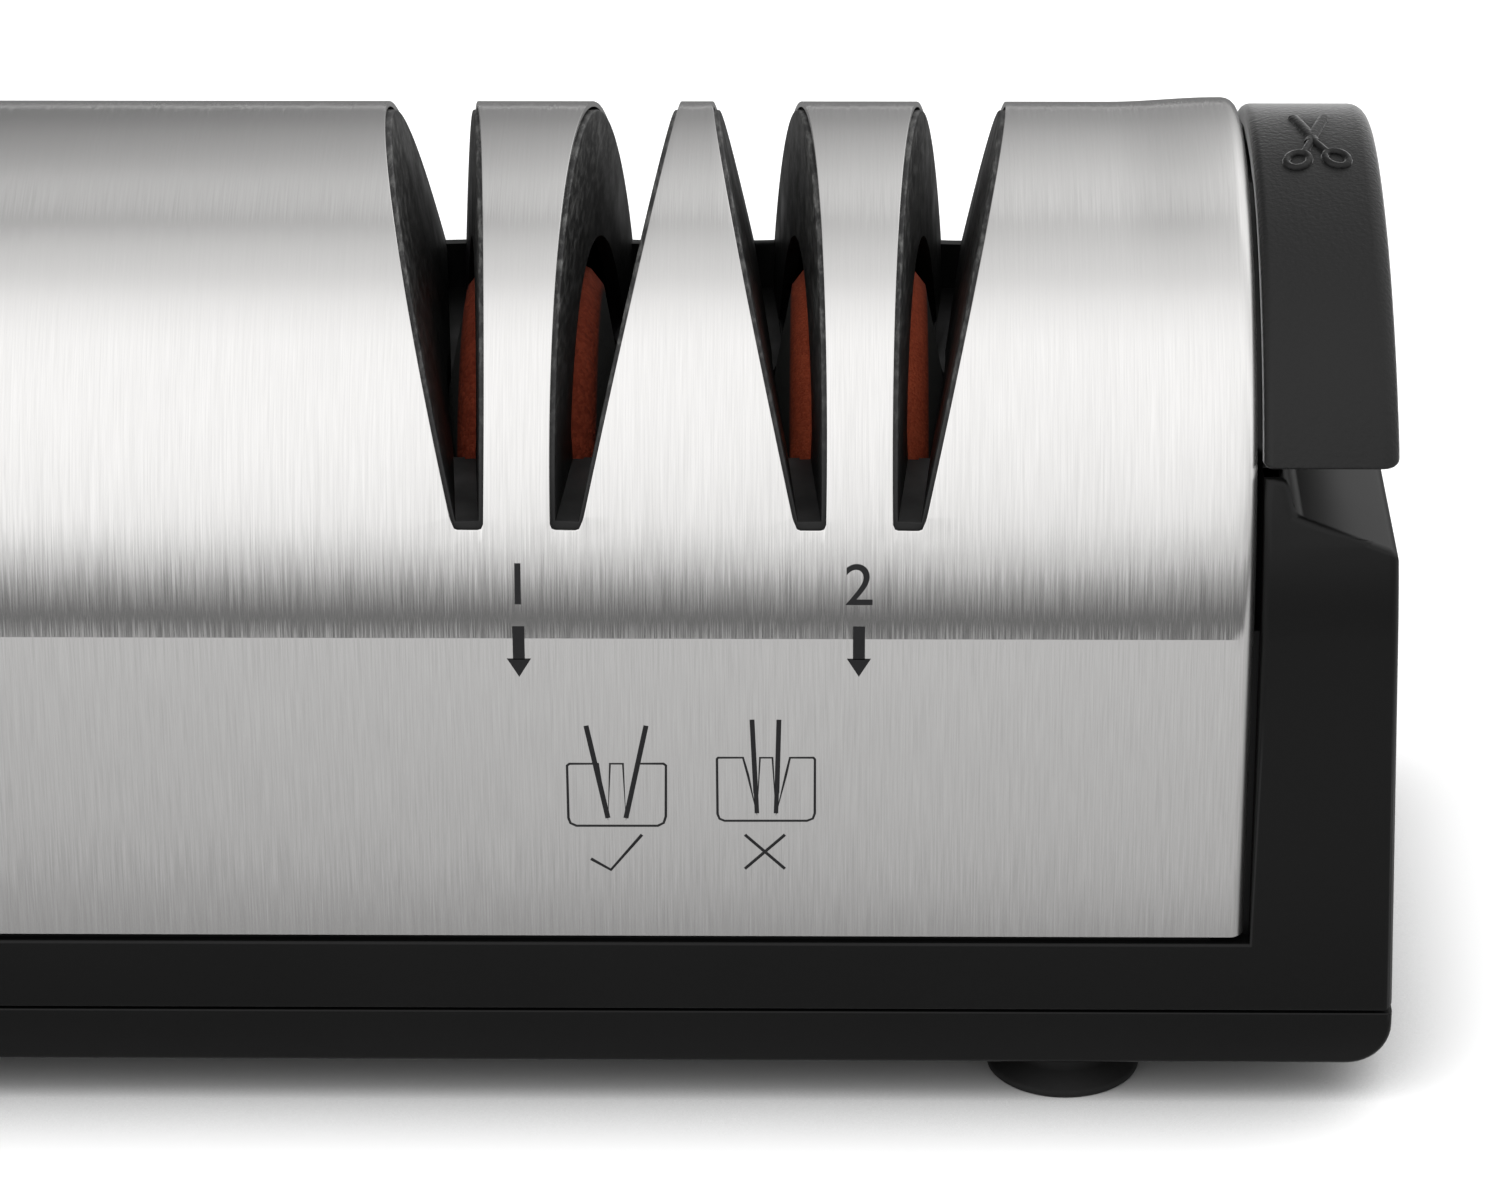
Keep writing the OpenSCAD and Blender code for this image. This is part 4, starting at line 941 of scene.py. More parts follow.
@dataclass
class ShellPrint:
    """The dark print on the steel: two numerals, two arrows and two small drawings.

    A mark is drawn flat, with X along the body and Y as the way over the surface from the crease, and is
    then laid on the shell.

    Attributes:
        shell: the shell that it lies on.
        film: thickness of the ink.
        shaft: half the width of an arrow's shaft.
        head: half the width of its head.
    """

    shell: SteelShell
    film: float = 0.03
    shaft: float = 0.6
    head: float = 1.21

    def ribbon(self, points: Sequence[Pair], width: float, closed: bool = False) -> Object:
        """Draw a flat line.

        Args:
            points: its corners in millimetres.
            width: its width in millimetres.
            closed: whether it runs back to its start.

        Returns:
            A flat mesh.
        """
        curve = bpy.data.curves.new("line", "CURVE")
        curve.dimensions = "3D"
        spline = curve.splines.new("POLY")
        spline.points.add(len(points) - 1)
        for target, (x, y) in zip(spline.points, points):
            target.co = (x * MM, y * MM, 0, 1)
        spline.use_cyclic_u = closed
        curve.bevel_depth = width / 2 * MM
        curve.bevel_resolution = 2
        curve.use_fill_caps = True
        line = bpy.data.objects.new("line", curve)
        bpy.context.scene.collection.objects.link(line)
        activate(line)
        bpy.ops.object.convert(target="MESH")
        line = bpy.context.object
        for v in line.data.vertices:
            v.co.z *= self.film / (width / 2)
        return line

    def plate(self, points: Sequence[Pair]) -> Object:
        """Draw a flat filled outline.

        Args:
            points: its corners in millimetres.

        Returns:
            A thin mesh.
        """
        deselect()
        bpy.ops.mesh.primitive_circle_add(vertices=len(points), radius=1, fill_type="NGON")
        plate = bpy.context.object
        for v, (x, y) in zip(plate.data.vertices, points):
            v.co = (x * MM, y * MM, 0)
        with editing(plate):
            bpy.ops.mesh.normals_make_consistent(inside=False)
            bpy.ops.mesh.extrude_region_move(TRANSFORM_OT_translate={"value": (0, 0, self.film * MM)})
            bpy.ops.mesh.select_all(action="SELECT")
            bpy.ops.mesh.normals_make_consistent(inside=False)
        return plate

    def numeral(self, text: str, x: float, low: float, high: float) -> Object:
        """Draw a numeral.

        Args:
            text: the figure.
            x: its middle in millimetres.
            low: its foot in millimetres from the crease.
            high: its top.

        Returns:
            A thin mesh.
        """
        deselect()
        bpy.ops.object.text_add()
        figure = bpy.context.object
        figure.data.body = text
        figure.data.size = 0.01
        figure.data.extrude = self.film * MM
        bpy.ops.object.convert(target="MESH")
        figure = bpy.context.object
        xs = [v.co.x for v in figure.data.vertices]
        ys = [v.co.y for v in figure.data.vertices]
        scale = (high - low) * MM / (max(ys) - min(ys))
        for v in figure.data.vertices:
            v.co.x = (v.co.x - (min(xs) + max(xs)) / 2) * scale + x * MM
            v.co.y = (v.co.y - min(ys)) * scale + low * MM
        return figure

    def arrow(self, x: float, top: float, neck: float, tip: float) -> list[Object]:
        """Draw an arrow that points down.

        Args:
            x: its middle.
            top: upper end of the shaft.
            neck: where the head starts.
            tip: its point.

        Returns:
            The shaft and the head.
        """
        left, right, low = x - self.shaft, x + self.shaft, neck - 0.1
        shaft = self.plate([(left, low), (right, low), (right, top), (left, top)])
        head = self.plate([(x - self.head, neck), (x, tip), (x + self.head, neck)])
        return [shaft, head]

    def drawings(self) -> list[Object]:
        """Draw the two blocks with their blades, the tick and the cross.

        Returns:
            Their lines.
        """
        right = [
            (28.16, -14.4), (28.4, -14.18), (31.31, -14.17), (32.23, -20.6), (32.52, -14.16),
            (33.84, -14.16), (34.06, -20.59), (35.26, -14.15), (37.95, -14.14), (38.2, -14.35),
            (38.13, -20.2), (37.9, -20.95), (37.3, -21.28), (29.0, -21.3), (28.4, -21.0), (28.2, -20.4),
        ]
        wrong = [
            (43.38, -13.6), (43.5, -13.44), (46.02, -13.43), (46.51, -15.38), (47.41, -19.97),
            (47.74, -13.43), (49.01, -13.43), (49.35, -19.97), (50.37, -15.37), (50.78, -13.42),
            (53.15, -13.41), (53.31, -13.6), (53.3, -19.8), (53.1, -20.4), (52.5, -20.65),
            (44.1, -20.68), (43.6, -20.45), (43.4, -19.9),
        ]
        lines = [self.ribbon(right, 0.27, True), self.ribbon(wrong, 0.26, True)]
        for a, b, width in (
            ((30.16, -9.84), (32.23, -20.4), 0.52), ((36.23, -9.82), (34.06, -20.4), 0.52),
            ((46.95, -9.1), (47.3, -17.5), 0.5), ((49.67, -9.1), (49.45, -17.5), 0.5),
            ((47.3, -16.9), (47.41, -19.8), 0.46), ((49.45, -16.9), (49.35, -19.8), 0.46),
            ((46.18, -22.29), (50.25, -26.22), 0.33), ((50.26, -22.27), (46.16, -26.23), 0.33),
        ):
            lines.append(self.ribbon([a, b], width))
        lines.append(self.ribbon([(30.42, -25.12), (32.45, -26.4), (35.67, -22.32)], 0.34))
        return lines

    def build(self) -> Object:
        """Make all the marks and lay them on the steel.

        Returns:
            The finished mesh.
        """
        marks = [self.numeral("1", 23.55, 3.7, 8.0), self.numeral("2", 57.72, 3.7, 8.0)]
        marks += self.arrow(23.54, 1.32, -2.26, -4.31) + self.arrow(57.72, 1.39, -2.19, -4.21)
        marks += self.drawings()
        piece = join(marks, "shell_print")
        slice_up(piece, (0.0, 0.7, *range(4, 9)))
        for v in piece.data.vertices:
            v.co = self.shell.point(v.co.x / MM, v.co.y / MM, v.co.z / MM)
        return piece


# ---- Mouldings ----


@dataclass
class Mouldings:
    """Housing, tray, left cap and scissors cover, with the roundings of their moulds.

    Attributes:
        edge: rounding of the small outer edges.
        band_edge: rounding of the band below the steel.
        block_edge: rounding of the right-hand block.
        corner: rounding of the big end corners.
        seam: rounding beside the seam.
        seam_z: heights just below and just above the seam.
        band_z: height above which the band and the block begin.
        end_x: beyond this lie the body's end corners.
        block_x: where the block begins.
        slide_z: heights on the block between which the shift down comes in.
        lip_z: heights just above the cover's lips, as the CAD has them and as they are here.
        cover_x: places along the body that tell the cover's two ends.
        cover_end: where the cover's end wall begins.
        cover_edge: rounding at the cover's end.
        cover_drop: how much further down the cover's lips and the block's top lie than in the CAD.
        cover_reach: how much further the cover's end lies to the right.
        cover_sink: how much lower the cover's top lies.
    """

    edge: float = 0.5
    band_edge: float = 0.3
    block_edge: float = 0.85
    corner: float = 1.0
    seam: float = 0.2
    seam_z: Pair = (10.4, 11.2)
    band_z: float = 18.0
    end_x: float = 108.0
    block_x: float = 97.9
    slide_z: Pair = (60.5, 69.0)
    lip_z: Pair = (71.45, 71.0)
    cover_x: Pair = (98.4, 106.0)
    cover_end: float = 109.3
    cover_edge: float = 1.8
    cover_drop: float = 0.8
    cover_reach: float = 0.3
    cover_sink: float = 0.4

    def outer(self, a: Vector, b: Vector) -> bool:
        """Say whether an edge lies on the outer skin."""
        return min(hull_radius(a), hull_radius(b)) > SKIN_R

    def housing(self) -> Object:
        """Make the housing with its band, block and ramp.

        Returns:
            The finished mesh.
        """
        piece = merged_copy("main_housing", "housing_moulded")
        for v in piece.data.vertices:
            at = v.co / MM
            if at.x > self.block_x and at.z > self.slide_z[0] and hull_radius(at) > INNER_R:
                v.co = slid_down(at, self.cover_drop * smoothstep(*self.slide_z, at.z))

        def corner(a: Vector, b: Vector) -> bool:
            """Say whether an edge is at one of the big corners of the right end."""
            return self.outer(a, b) and min(a.x, b.x) > self.end_x

        def block(a: Vector, b: Vector) -> bool:
            """Say whether an edge is on the right-hand block or runs across its ramp."""
            ramp = min(a.z, b.z) > self.slide_z[0] and abs(a.y - b.y) > WIDE
            return min(a.x, b.x) > self.block_x and min(a.z, b.z) > self.band_z and (self.outer(a, b) or ramp)

        def band(a: Vector, b: Vector) -> bool:
            """Say whether an edge is on the band below the steel."""
            return self.outer(a, b) and max(a.x, b.x) < self.block_x + 1 and min(a.z, b.z) > self.band_z

        def seam(a: Vector, b: Vector) -> bool:
            """Say whether an edge is beside the seam or below it."""
            return self.outer(a, b) and max(a.z, b.z) < self.seam_z[1]

        bevel_where(piece, corner, self.corner, 4)
        bevel_where(piece, block, self.block_edge, 4)
        bevel_where(piece, band, self.band_edge, 2)
        bevel_where(piece, seam, self.seam, 2)
        smooth(piece)
        return piece

    def tray(self) -> Object:
        """Make the tray with its rounded lower edge.

        Returns:
            The finished mesh.
        """
        piece = merged_copy("base_tray", "tray_moulded")

        def low(a: Vector, b: Vector) -> bool:
            """Say whether an edge runs round the tray's lower side."""
            return self.outer(a, b) and min(a.z, b.z) < self.seam_z[0] and abs(a.y - b.y) <= WIDE

        bevel_where(piece, low, self.edge, 3)
        bevel_where(piece, lambda a, b: self.outer(a, b) and min(a.z, b.z) > self.seam_z[0], self.seam, 2)
        smooth(piece)
        return piece

    def cap(self) -> Object:
        """Make the left end cap.

        Returns:
            The finished mesh.
        """
        piece = merged_copy("left_end_cap", "cap_moulded")
        bevel_where(piece, lambda a, b: self.outer(a, b) and max(a.x, b.x) < -self.end_x, self.corner, 4)
        bevel_where(piece, lambda a, b: self.outer(a, b) and min(a.x, b.x) > -self.end_x, self.edge, 3)
        smooth(piece)
        return piece

    def cover(self) -> Object:
        """Make the cover above the scissors notch.

        Returns:
            The finished mesh.
        """
        piece = merged_copy("scissors_cover", "cover_grained")
        for v in piece.data.vertices:
            at = v.co / MM
            if at.z < self.lip_z[0] and hull_radius(at) > INNER_R:
                v.co = slid_down(at, self.cover_drop)
            if at.x > self.cover_end + 1:
                v.co.x += self.cover_reach * MM

        def arc(a: Vector, b: Vector) -> bool:
            """Say whether an edge follows the cover's arched skin."""
            return self.outer(a, b) and max(a.z, b.z) > self.lip_z[0]

        def lip(a: Vector, b: Vector) -> bool:
            """Say whether an edge is on a lower lip or on the end wall beside it."""
            skin = min(hull_radius(a), hull_radius(b)) > LIP_R
            return max(a.z, b.z) < self.lip_z[1] and (skin or min(a.x, b.x) > self.cover_end)

        left, right = self.cover_x
        bevel_where(piece, lambda a, b: arc(a, b) and min(a.x, b.x) > right, self.cover_edge, 6)
        bevel_where(piece, lambda a, b: arc(a, b) and max(a.x, b.x) < left, self.corner, 4)
        bevel_where(piece, lip, self.edge, 3)
        for v in piece.data.vertices:
            at = v.co / MM
            phi = math.degrees(math.atan2(at.z - CREASE_Z, abs(at.y)))
            part = 1 - self.cover_sink * smoothstep(30, 80, phi) / SKIN_R
            v.co = Vector((at.x, at.y * part, CREASE_Z + (at.z - CREASE_Z) * part)) * MM
        smooth(piece)
        return piece

    def build(self) -> None:
        """Make, dress and place the four mouldings."""
        settle(self.housing(), HOUSING_ABS, replaces=["main_housing"])
        settle(self.tray(), HOUSING_ABS, replaces=["base_tray"])
        settle(self.cap(), HOUSING_ABS, replaces=["left_end_cap"])
        settle(self.cover(), COVER_ABS, replaces=["scissors_cover"])


@dataclass
class CoverSymbol:
    """The raised pair of scissors on the cover.

    Attributes:
        radius: radius that the symbol is drawn for.
        sink: how much lower the cover's skin lies there.
        height: how far the symbol stands up.
        ring: width of the rings' outline.
        arm: width of the arms.
        blades: widths of the two blades.
    """

    radius: float = 39.7
    sink: float = 0.38
    height: float = 0.5
    ring: float = 0.82
    arm: float = 0.85
    blades: Pair = (1.3, 1.2)

    def build(self, pen: ShellPrint) -> Object:
        """Make the symbol.

        Args:
            pen: draws the flat lines.

        Returns:
            The finished mesh.
        """
        parts = []
        for middle, turn in (((102.52, 55.11), -25), ((106.52, 55.45), 25)):
            parts.append(pen.ribbon(ellipse(middle, (1.12, 1.5), turn), self.ring, True))
        cross = (104.24, 59.4)
        for points, width in (
            ([(103.2, 56.5), cross], self.arm), ([(105.6, 56.7), cross], self.arm),
            ([(104.5, 58.9), (102.75, 65.6)], self.blades[0]),
            ([(103.95, 58.9), (105.85, 65.6)], self.blades[1]),
        ):
            parts.append(pen.ribbon(points, width))
        piece = join(parts, "scissors_symbol")
        slice_up(piece, range(52, 67, 2))
        for v in piece.data.vertices:
            phi = v.co.y / MM / self.radius
            r = self.radius - self.sink + v.co.z / MM / pen.film * self.height
            v.co = Vector((v.co.x / MM, -r * math.cos(phi), CREASE_Z + r * math.sin(phi))) * MM
        smooth(piece, 60)
        return piece


# ---- Slot guides and stones ----


@dataclass
class SlotGuides:
    """The shiny liners of the slots and the stones behind them.

    Attributes:
        radius: radius of the liner under the steel.
        trough_z: height above which the slots cut its edge.
        width: edges longer than this along X belong to no slot.
        rim: rounding of the liner's edge along the slots.
    """

    radius: float = 38.6
    trough_z: float = 58.0
    width: float = 3.5
    rim: float = 0.2

    def guide(self, node: str, name: str) -> Object:
        """Make one liner.

        Args:
            node: the CAD node.
            name: the new piece's name.

        Returns:
            The finished mesh.
        """
        piece = merged_copy(node, name)

        def rim(a: Vector, b: Vector) -> bool:
            """Say whether an edge on the liner's skin runs along a slot."""
            on_skin = all(abs(hull_radius(p) - self.radius) < 0.05 for p in (a, b))
            return on_skin and min(a.z, b.z) > self.trough_z and abs(a.x - b.x) < self.width

        bevel_where(piece, rim, self.rim, 3, least=40)
        smooth(piece)
        return piece

    def build(self) -> None:
        """Make, dress and place the liners and the stones."""
        for node, name in (("coarse_guide", "guide_coarse_gloss"), ("fine_guide", "guide_fine_gloss")):
            settle(self.guide(node, name), GUIDE_ABS, replaces=[node])
        for node, name, finish, slot in (
            ("coarse_wheel", "stone_coarse", COARSE_STONE, "coarse_stone"),
            ("fine_wheel", "stone_fine", FINE_STONE, "fine_stone"),
            ("scissors_wheel", "stone_scissors", SCISSORS_STONE, "fine_stone"),
        ):
            piece = merged_copy(node, name)
            smooth(piece, 40)
            settle(piece, finish, Body.ROTOR, [node])


# ---- Switch, gland, feet and screws ----


@dataclass
class PowerSwitch:
    """The rocker switch at the front.

    Attributes:
        x: place along the body.
        pivot_y: depth of the rocker's pin.
        z: height of the switch.
        tilt: how the rocker stands at rest, in degrees.
        bezel_y: depth of the bezel's front edge and of its sides' outer part.
        key_y: depth of the rocker's outer part.
        mark_u: how far the two marks lie from the pin.
        crown: height of the rocker's two faces above the pin, where they meet.
        slope: slope of those faces.
        edge: rounding of the bezel's edges.
        key_edge: rounding of the rocker's edges.
    """

    x: float = -62.0
    pivot_y: float = -37.2
    z: float = 36.525
    tilt: float = 11.0
    bezel_y: Pair = (-41.4, -39.2)
    key_y: float = -38.5
    mark_u: float = 4.6
    crown: float = 3.0
    slope: float = 0.262
    edge: float = 0.5
    key_edge: float = 0.35

    def build(self, pen: ShellPrint) -> None:
        """Make, dress and place the bezel, the rocker and its two marks.

        Args:
            pen: draws the flat marks.
        """
        bezel = merged_copy("switch_body", "switch_bezel")

        def side(a: Vector, b: Vector) -> bool:
            """Say whether an edge runs back from one of the bezel's short sides."""
            deep = max(a.y, b.y) < self.bezel_y[1] and abs(a.y - b.y) > 1
            return deep and abs(a.x - self.x) > 10

        bevel_where(bezel, lambda a, b: max(a.y, b.y) < self.bezel_y[0], self.edge, 3)
        bevel_where(bezel, side, self.edge, 3)
        smooth(bezel)
        settle(bezel, SWITCH_PC, replaces=["switch_body"])
        rocker = merged_copy("switch_rocker", "switch_key")
        bevel_where(rocker, lambda a, b: max(a.y, b.y) < self.key_y, self.key_edge, 3, least=35)
        smooth(rocker)
        settle(rocker, SWITCH_PC, Body.ROCKER, ["switch_rocker"])
        bar = pen.ribbon([(0, -1.5), (0, 1.5)], 0.5)
        loop = pen.ribbon(ellipse((0, 0), (1.35, 1.35)), 0.45, True)
        for mark, side in ((bar, -1), (loop, 1)):
            for v in mark.data.vertices:
                u = side * self.mark_u + v.co.x / MM
                face = -self.crown - abs(u) * self.slope
                v.co = Vector((u, face - v.co.z / MM, v.co.y / MM)) * MM
            turn = Matrix.Translation(Vector((self.x, self.pivot_y, self.z)) * MM)
            mark.data.transform(turn @ Matrix.Rotation(math.radians(self.tilt), 4, "Z"))
        marks = join([bar, loop], "switch_marks")
        settle(marks, WHITE_INK, Body.ROCKER)


@dataclass
class SmallParts:
    """Cord gland, rubber feet and the four screws under the tray.

    Attributes:
        soft_edge: rounding of the gland's edges.
        foot_edge: rounding of the feet's lower edges.
        gland_y: depth of the gland's outer face.
        foot_z: height of a foot's thin lower rim.
        recess: length, width and depth of the cross recess in a screw head.
        screw_at: place of the screws along the body, in depth and in height.
    """

    soft_edge: float = 0.35
    foot_edge: float = 0.25
    gland_y: float = 43.0
    foot_z: float = 3.0
    recess: Triple = (4.0, 0.75, 1.1)
    screw_at: Triple = (107.2, 33.9, 5.2)

    def gland(self) -> None:
        """Make, dress and place the gland."""
        piece = merged_copy("cord_gland", "gland_rubber")
        bevel_where(piece, lambda a, b: min(a.y, b.y) > self.gland_y, self.soft_edge, 3)
        smooth(piece)
        settle(piece, RUBBER, replaces=["cord_gland"])

    def feet(self) -> None:
        """Make, dress and place the four feet."""
        for end in ("front_left", "front_right", "back_left", "back_right"):
            piece = merged_copy(f"foot_{end}", f"cup_foot_{end}")
            bevel_where(piece, lambda a, b: max(a.z, b.z) < self.foot_z, self.foot_edge, 3)
            smooth(piece, 40)
            settle(piece, RUBBER, replaces=[f"foot_{end}"])

    def screws(self) -> None:
        """Make, dress and place the screws under the tray, each with a cross recess."""
        length, width, depth = self.recess
        x, y, z = self.screw_at
        for node, end in (("base_screws", 1), ("cap_screws", -1)):
            piece = merged_copy(node, node.replace("screws", "screws_cross"))
            for side in Side:
                for size in (Vector((length, width, 2 * depth)), Vector((width, length, 2 * depth))):
                    deselect()
                    bpy.ops.mesh.primitive_cube_add(size=1)
                    cutter = bpy.context.object
                    for v in cutter.data.vertices:
                        v.co = (Vector((end * x, side.value * y, z)) + v.co * size) * MM
                    apply_modifier(piece, "BOOLEAN", operation="DIFFERENCE", solver="EXACT", object=cutter)
                    bpy.data.objects.remove(cutter)
            smooth(piece)
            settle(piece, SCREW, replaces=[node])

    def build(self) -> None:
        """Make all the small parts."""
        self.gland()
        self.feet()
        self.screws()


def dress_nodes() -> None:
    """Give each CAD node that is shown as it is its finish."""
    for finish, nodes in NODE_FINISHES:
        for node in nodes:
            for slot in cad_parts[node].material_slots:
                slot.material = finish.material()
            LOG.info("%s: CAD shape, %s", node, finish.name)


# ---- Studio ----


@dataclass
class Studio:
    """A pale floor with painted shadow, soft all-round light brightest in front, graded cards of painted
    reflection.

    Attributes:
        top: brightest level of the light.
        levels: angle from the front horizon over the top to the back, and the light's level there to
            the left and to the right.
        sides: how far to the side the left and right levels hold, as a share of the way out.
        paper: darker and lighter colour of the paper on the floor.
        fibres: how many of its fibres there are to a metre.
        seen: colour of the floor that the camera sees, in the painted shadow by the body and away from it.
        painted_shadow_reach: how near the body has to be for the painted shadow on the floor, in metres.
        painted_shadow_levels: how open the floor is where its painted shadow is deepest and where it ends.
        floor_lift: what is added to the floor where the camera looks at it, less in the painted shadow.
        slant: how much the cards' levels lean towards the right.
        card_width: width of a card in metres.
        card_z: height of the cards above the floor in metres.
        cards: for each graded card of painted reflection, its level at some places along Y, in millimetres.
    """

    top: float = 1.7
    levels: tuple[Triple, ...] = (
        (0, 1.24, 0.76), (8, 1.62, 0.88), (17, 1.61, 1.05), (29, 1.63, 1.17), (41, 1.6, 1.3),
        (53, 1.55, 1.39), (65, 1.52, 1.46), (78, 1.33, 1.33), (87, 1.0, 1.15), (96, 0.83, 1.13),
        (102, 0.71, 1.05), (105, 0.46, 1.2), (108.5, 0.22, 1.3), (111, 0.32, 1.42), (119, 0.43, 1.4),
        (126, 0.44, 1.36), (134, 0.2, 1.4), (142, 0.11, 1.3), (156, 0.08, 1.0), (165, 0.05, 0.8),
        (173, 0.04, 0.7), (180, 0.03, 0.58),
    )
    sides: float = 0.35
    paper: tuple[str, str] = ("#E4E4E4", "#E8E8E8")
    fibres: float = 400.0
    seen: tuple[str, str] = ("#B0B0B0", "#FCFCFC")
    painted_shadow_reach: float = 0.022
    painted_shadow_levels: Pair = (0.35, 0.9)
    floor_lift: float = 0.3
    slant: float = 0.05
    card_width: float = 5.0
    card_z: float = 0.0005
    cards: tuple[tuple[Pair, ...], ...] = (
        (
            (-50, 0.43), (-75, 0.46), (-82, 0.53), (-89, 0.63), (-100, 0.67), (-120, 0.71), (-137, 0.75),
            (-149, 0.8), (-157, 0.82), (-166, 0.8), (-177, 0.58), (-190, 0.16), (-202, 0.02), (-215, 0.03),
            (-235, 0.2), (-271, 0.34), (-344, 0.47), (-500, 0.66), (-775, 0.86), (-1500, 1.0),
        ),
        ((50, 0.26), (150, 0.24), (400, 0.22), (1500, 0.22), (4000, 0.22)),
    )

    def world(self) -> None:
        """Set the light from all round."""
        world = bpy.data.worlds.new("soft_studio")
        bpy.context.scene.world = world
        world.use_nodes = True
        tree = world.node_tree
        tree.nodes.clear()
        add = partial(add_node, tree)
        aim = add("TexCoord").outputs["Generated"]
        parts = add("SeparateXYZ", {"Vector": aim}).outputs
        front = add("Math", {0: parts["Y"], 1: -1.0}, operation="MULTIPLY")
        angle = add("Math", {0: parts["Z"], 1: front}, operation="ARCTAN2")
        share = add("Math", {0: angle, 1: math.pi}, operation="DIVIDE")
        ramps = []
        for number in (1, 2):
            stops = [(stop[0] / 180, stop[number] / self.top) for stop in self.levels]
            ramps.append(add("ValToRGB", {"Fac": share}, stops=stops))
        side = add("MapRange", {"Value": parts["X"], "From Min": -self.sides, "From Max": self.sides})
        left, right = (ramp.outputs["Color"] for ramp in ramps)
        colours = {COLOUR_A: left, COLOUR_B: right}
        level = add("Mix", {0: side, **colours}, data_type="RGBA").outputs[MIXED]
        light = add("Background", {"Color": level, "Strength": self.top})
        white = add("Background", {"Color": (1, 1, 1, 1), "Strength": 1.0})
        rays = add("LightPath").outputs
        mix = add("MixShader", {0: rays["Is Camera Ray"], 1: light, 2: white})
        add("OutputWorld", {"Surface": mix})

    def floor(self) -> None:
        """Lay the floor, with a painted shadow by the body where the camera sees it."""
        deselect()
        bpy.ops.mesh.primitive_grid_add(x_subdivisions=4, y_subdivisions=4, size=8)
        floor = bpy.context.object
        floor.name = "studio_floor"
        made = bpy.data.materials.new("paper_matt_white")
        made.use_nodes = True
        tree = made.node_tree
        shader = next(n for n in tree.nodes if n.type == "BSDF_PRINCIPLED")
        add = partial(add_node, tree)
        place = add("TexCoord").outputs["Object"]
        fibre = add("TexNoise", {"Vector": place, "Scale": self.fibres})
        colours = {COLOUR_A: linear(self.paper[0]), COLOUR_B: linear(self.paper[1])}
        paper = add("Mix", {0: fibre, **colours}, data_type="RGBA").outputs[MIXED]
        camera = add("LightPath").outputs["Is Camera Ray"]
        # Painted shadow: ambient occlusion darkens the floor that the camera sees near the body and takes
        # back its lift
        near = add("AmbientOcclusion", {"Distance": self.painted_shadow_reach}, samples=8).outputs["AO"]
        low, high = self.painted_shadow_levels
        shade = add("MapRange", {"Value": near, "From Min": low, "From Max": high})
        colours = {COLOUR_A: linear(self.seen[0]), COLOUR_B: linear(self.seen[1])}
        white = add("Mix", {0: shade, **colours}, data_type="RGBA").outputs[MIXED]
        colours = {COLOUR_A: paper, COLOUR_B: white}
        colour = add("Mix", {0: camera, **colours}, data_type="RGBA").outputs[MIXED]
        full = add("Math", {0: camera, 1: shade}, operation="MULTIPLY")
        lift = add("Math", {0: full, 1: self.floor_lift}, operation="MULTIPLY")
        wire(tree, shader, {"Base Color": colour, "Roughness": 0.9, "Specular IOR Level": 0.0})
        wire(tree, shader, {"Emission Color": (1, 1, 1, 1), "Emission Strength": lift})
        floor.data.materials.append(made)

    def painted_reflection_card(self, number: int, levels: Sequence[Pair]) -> None:
        """Lay one glowing graded card on the floor, which only gloss can see: a painted reflection.

        Args:
            number: its number, for its name.
            levels: its level at some places along Y, in millimetres.
        """
        start, end = levels[0][0], levels[-1][0]
        deselect()
        bpy.ops.mesh.primitive_plane_add(size=1)
        card = bpy.context.object
        card.name = f"painted_reflection_card_{number}"
        low, high = sorted((start * MM, end * MM))
        for v in card.data.vertices:
            v.co = Vector((v.co.x * self.card_width, high if v.co.y > 0 else low, self.card_z))
        made = bpy.data.materials.new(f"painted_reflection_grey_{number}")
        made.use_nodes = True
        tree = made.node_tree
        tree.nodes.clear()
        add = partial(add_node, tree)
        place = add("TexCoord").outputs["Object"]
        parts = add("SeparateXYZ", {"Vector": place}).outputs
        slant = add("Math", {0: parts["X"], 1: -self.slant, 2: parts["Y"]}, operation="MULTIPLY_ADD")
        share = add("MapRange", {"Value": slant, "From Min": start * MM, "From Max": end * MM})
        stops = [((at - start) / (end - start), value) for at, value in levels]
        level = add("ValToRGB", {"Fac": share}, stops=stops)
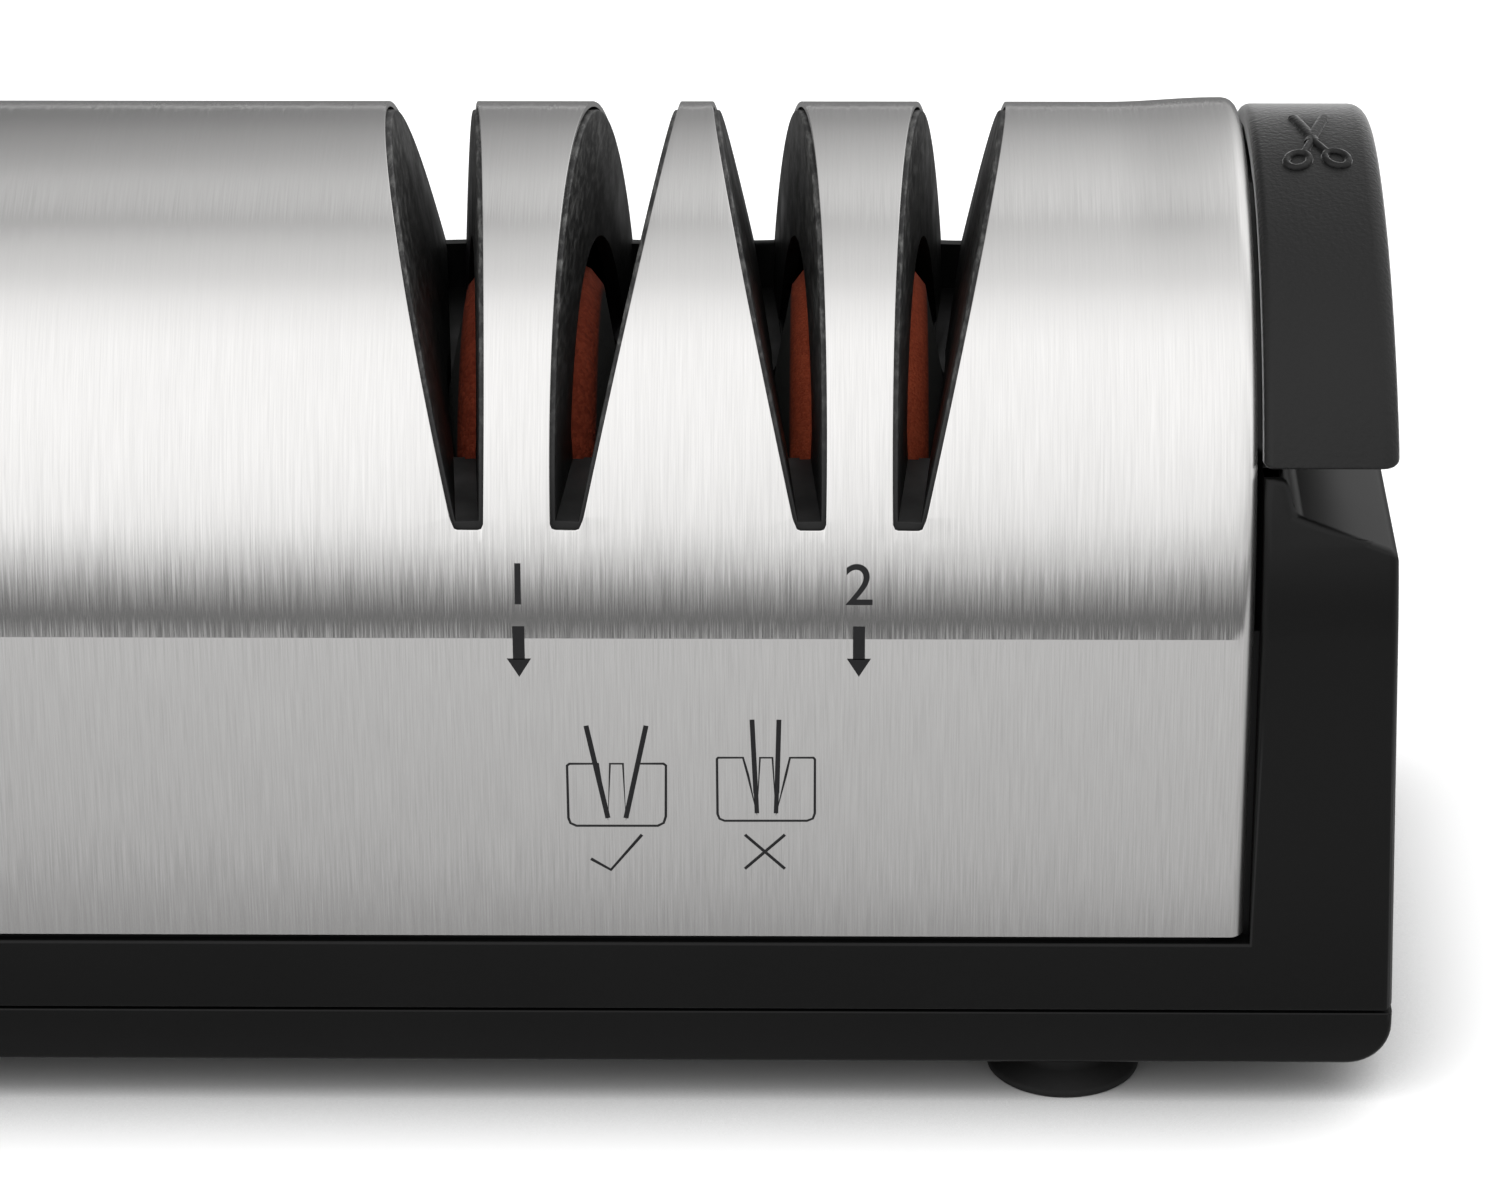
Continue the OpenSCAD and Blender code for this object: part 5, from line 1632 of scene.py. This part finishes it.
        # Painted reflection: the card glows at its graded level; the first is darker near the body, a painted
        # shadow, with a dark band further out
        light = add("Emission", {"Color": level, "Strength": 1.0})
        add("OutputMaterial", {"Surface": light})
        card.data.materials.append(made)
        card.visible_camera = card.visible_diffuse = card.visible_shadow = False
        card.visible_transmission = card.visible_volume_scatter = False

    def build(self) -> None:
        """Set up the whole studio."""
        self.world()
        self.floor()
        for number, levels in enumerate(self.cards, 1):
            self.painted_reflection_card(number, levels)
        bpy.context.scene.view_settings.view_transform = "Standard"


@dataclass
class StillCamera:
    """The camera where the picture was taken from.

    Attributes:
        place: where it stands, in metres.
        pan: turn to the left in degrees.
        fall: how far it looks down in degrees.
        roll: turn about its own axis in degrees.
        lens: focal length on a 36 mm wide sensor.
    """

    place: Triple = (0.05519, -0.5679, 0.3157)
    pan: float = -0.92
    fall: float = 26.0
    roll: float = -0.27
    lens: float = 141.3

    def build(self) -> None:
        """Make the camera and look through it."""
        a, e, t = (math.radians(v) for v in (self.pan, self.fall, self.roll))
        ahead = Vector((math.sin(a) * math.cos(e), math.cos(a) * math.cos(e), -math.sin(e)))
        level = Vector((math.cos(a), -math.sin(a), 0))
        up = level.cross(ahead)
        right = math.cos(t) * level + math.sin(t) * up
        above = -math.sin(t) * level + math.cos(t) * up
        data = bpy.data.cameras.new("still_camera")
        data.lens, data.sensor_width, data.sensor_fit = self.lens, 36.0, "HORIZONTAL"
        data.clip_start, data.clip_end = 0.01, 50.0
        camera = bpy.data.objects.new("still_camera", data)
        turn = Matrix((right, above, -ahead)).transposed().to_4x4()
        camera.matrix_world = Matrix.Translation(Vector(self.place)) @ turn
        bpy.context.scene.collection.objects.link(camera)
        bpy.context.scene.camera = camera


def main() -> None:
    """Build everything in order."""
    logging.basicConfig(level=logging.INFO, format="%(name)s %(message)s")
    StillCamera().build()
    Studio().build()
    shell = SteelShell()
    settle(shell.build(), STAINLESS, replaces=["steel_shell"])
    pen = ShellPrint(shell)
    settle(pen.build(), INK)
    Mouldings().build()
    settle(CoverSymbol().build(pen), COVER_ABS)
    SlotGuides().build()
    PowerSwitch().build(pen)
    SmallParts().build()
    dress_nodes()


if __name__ == "__main__":
    main()
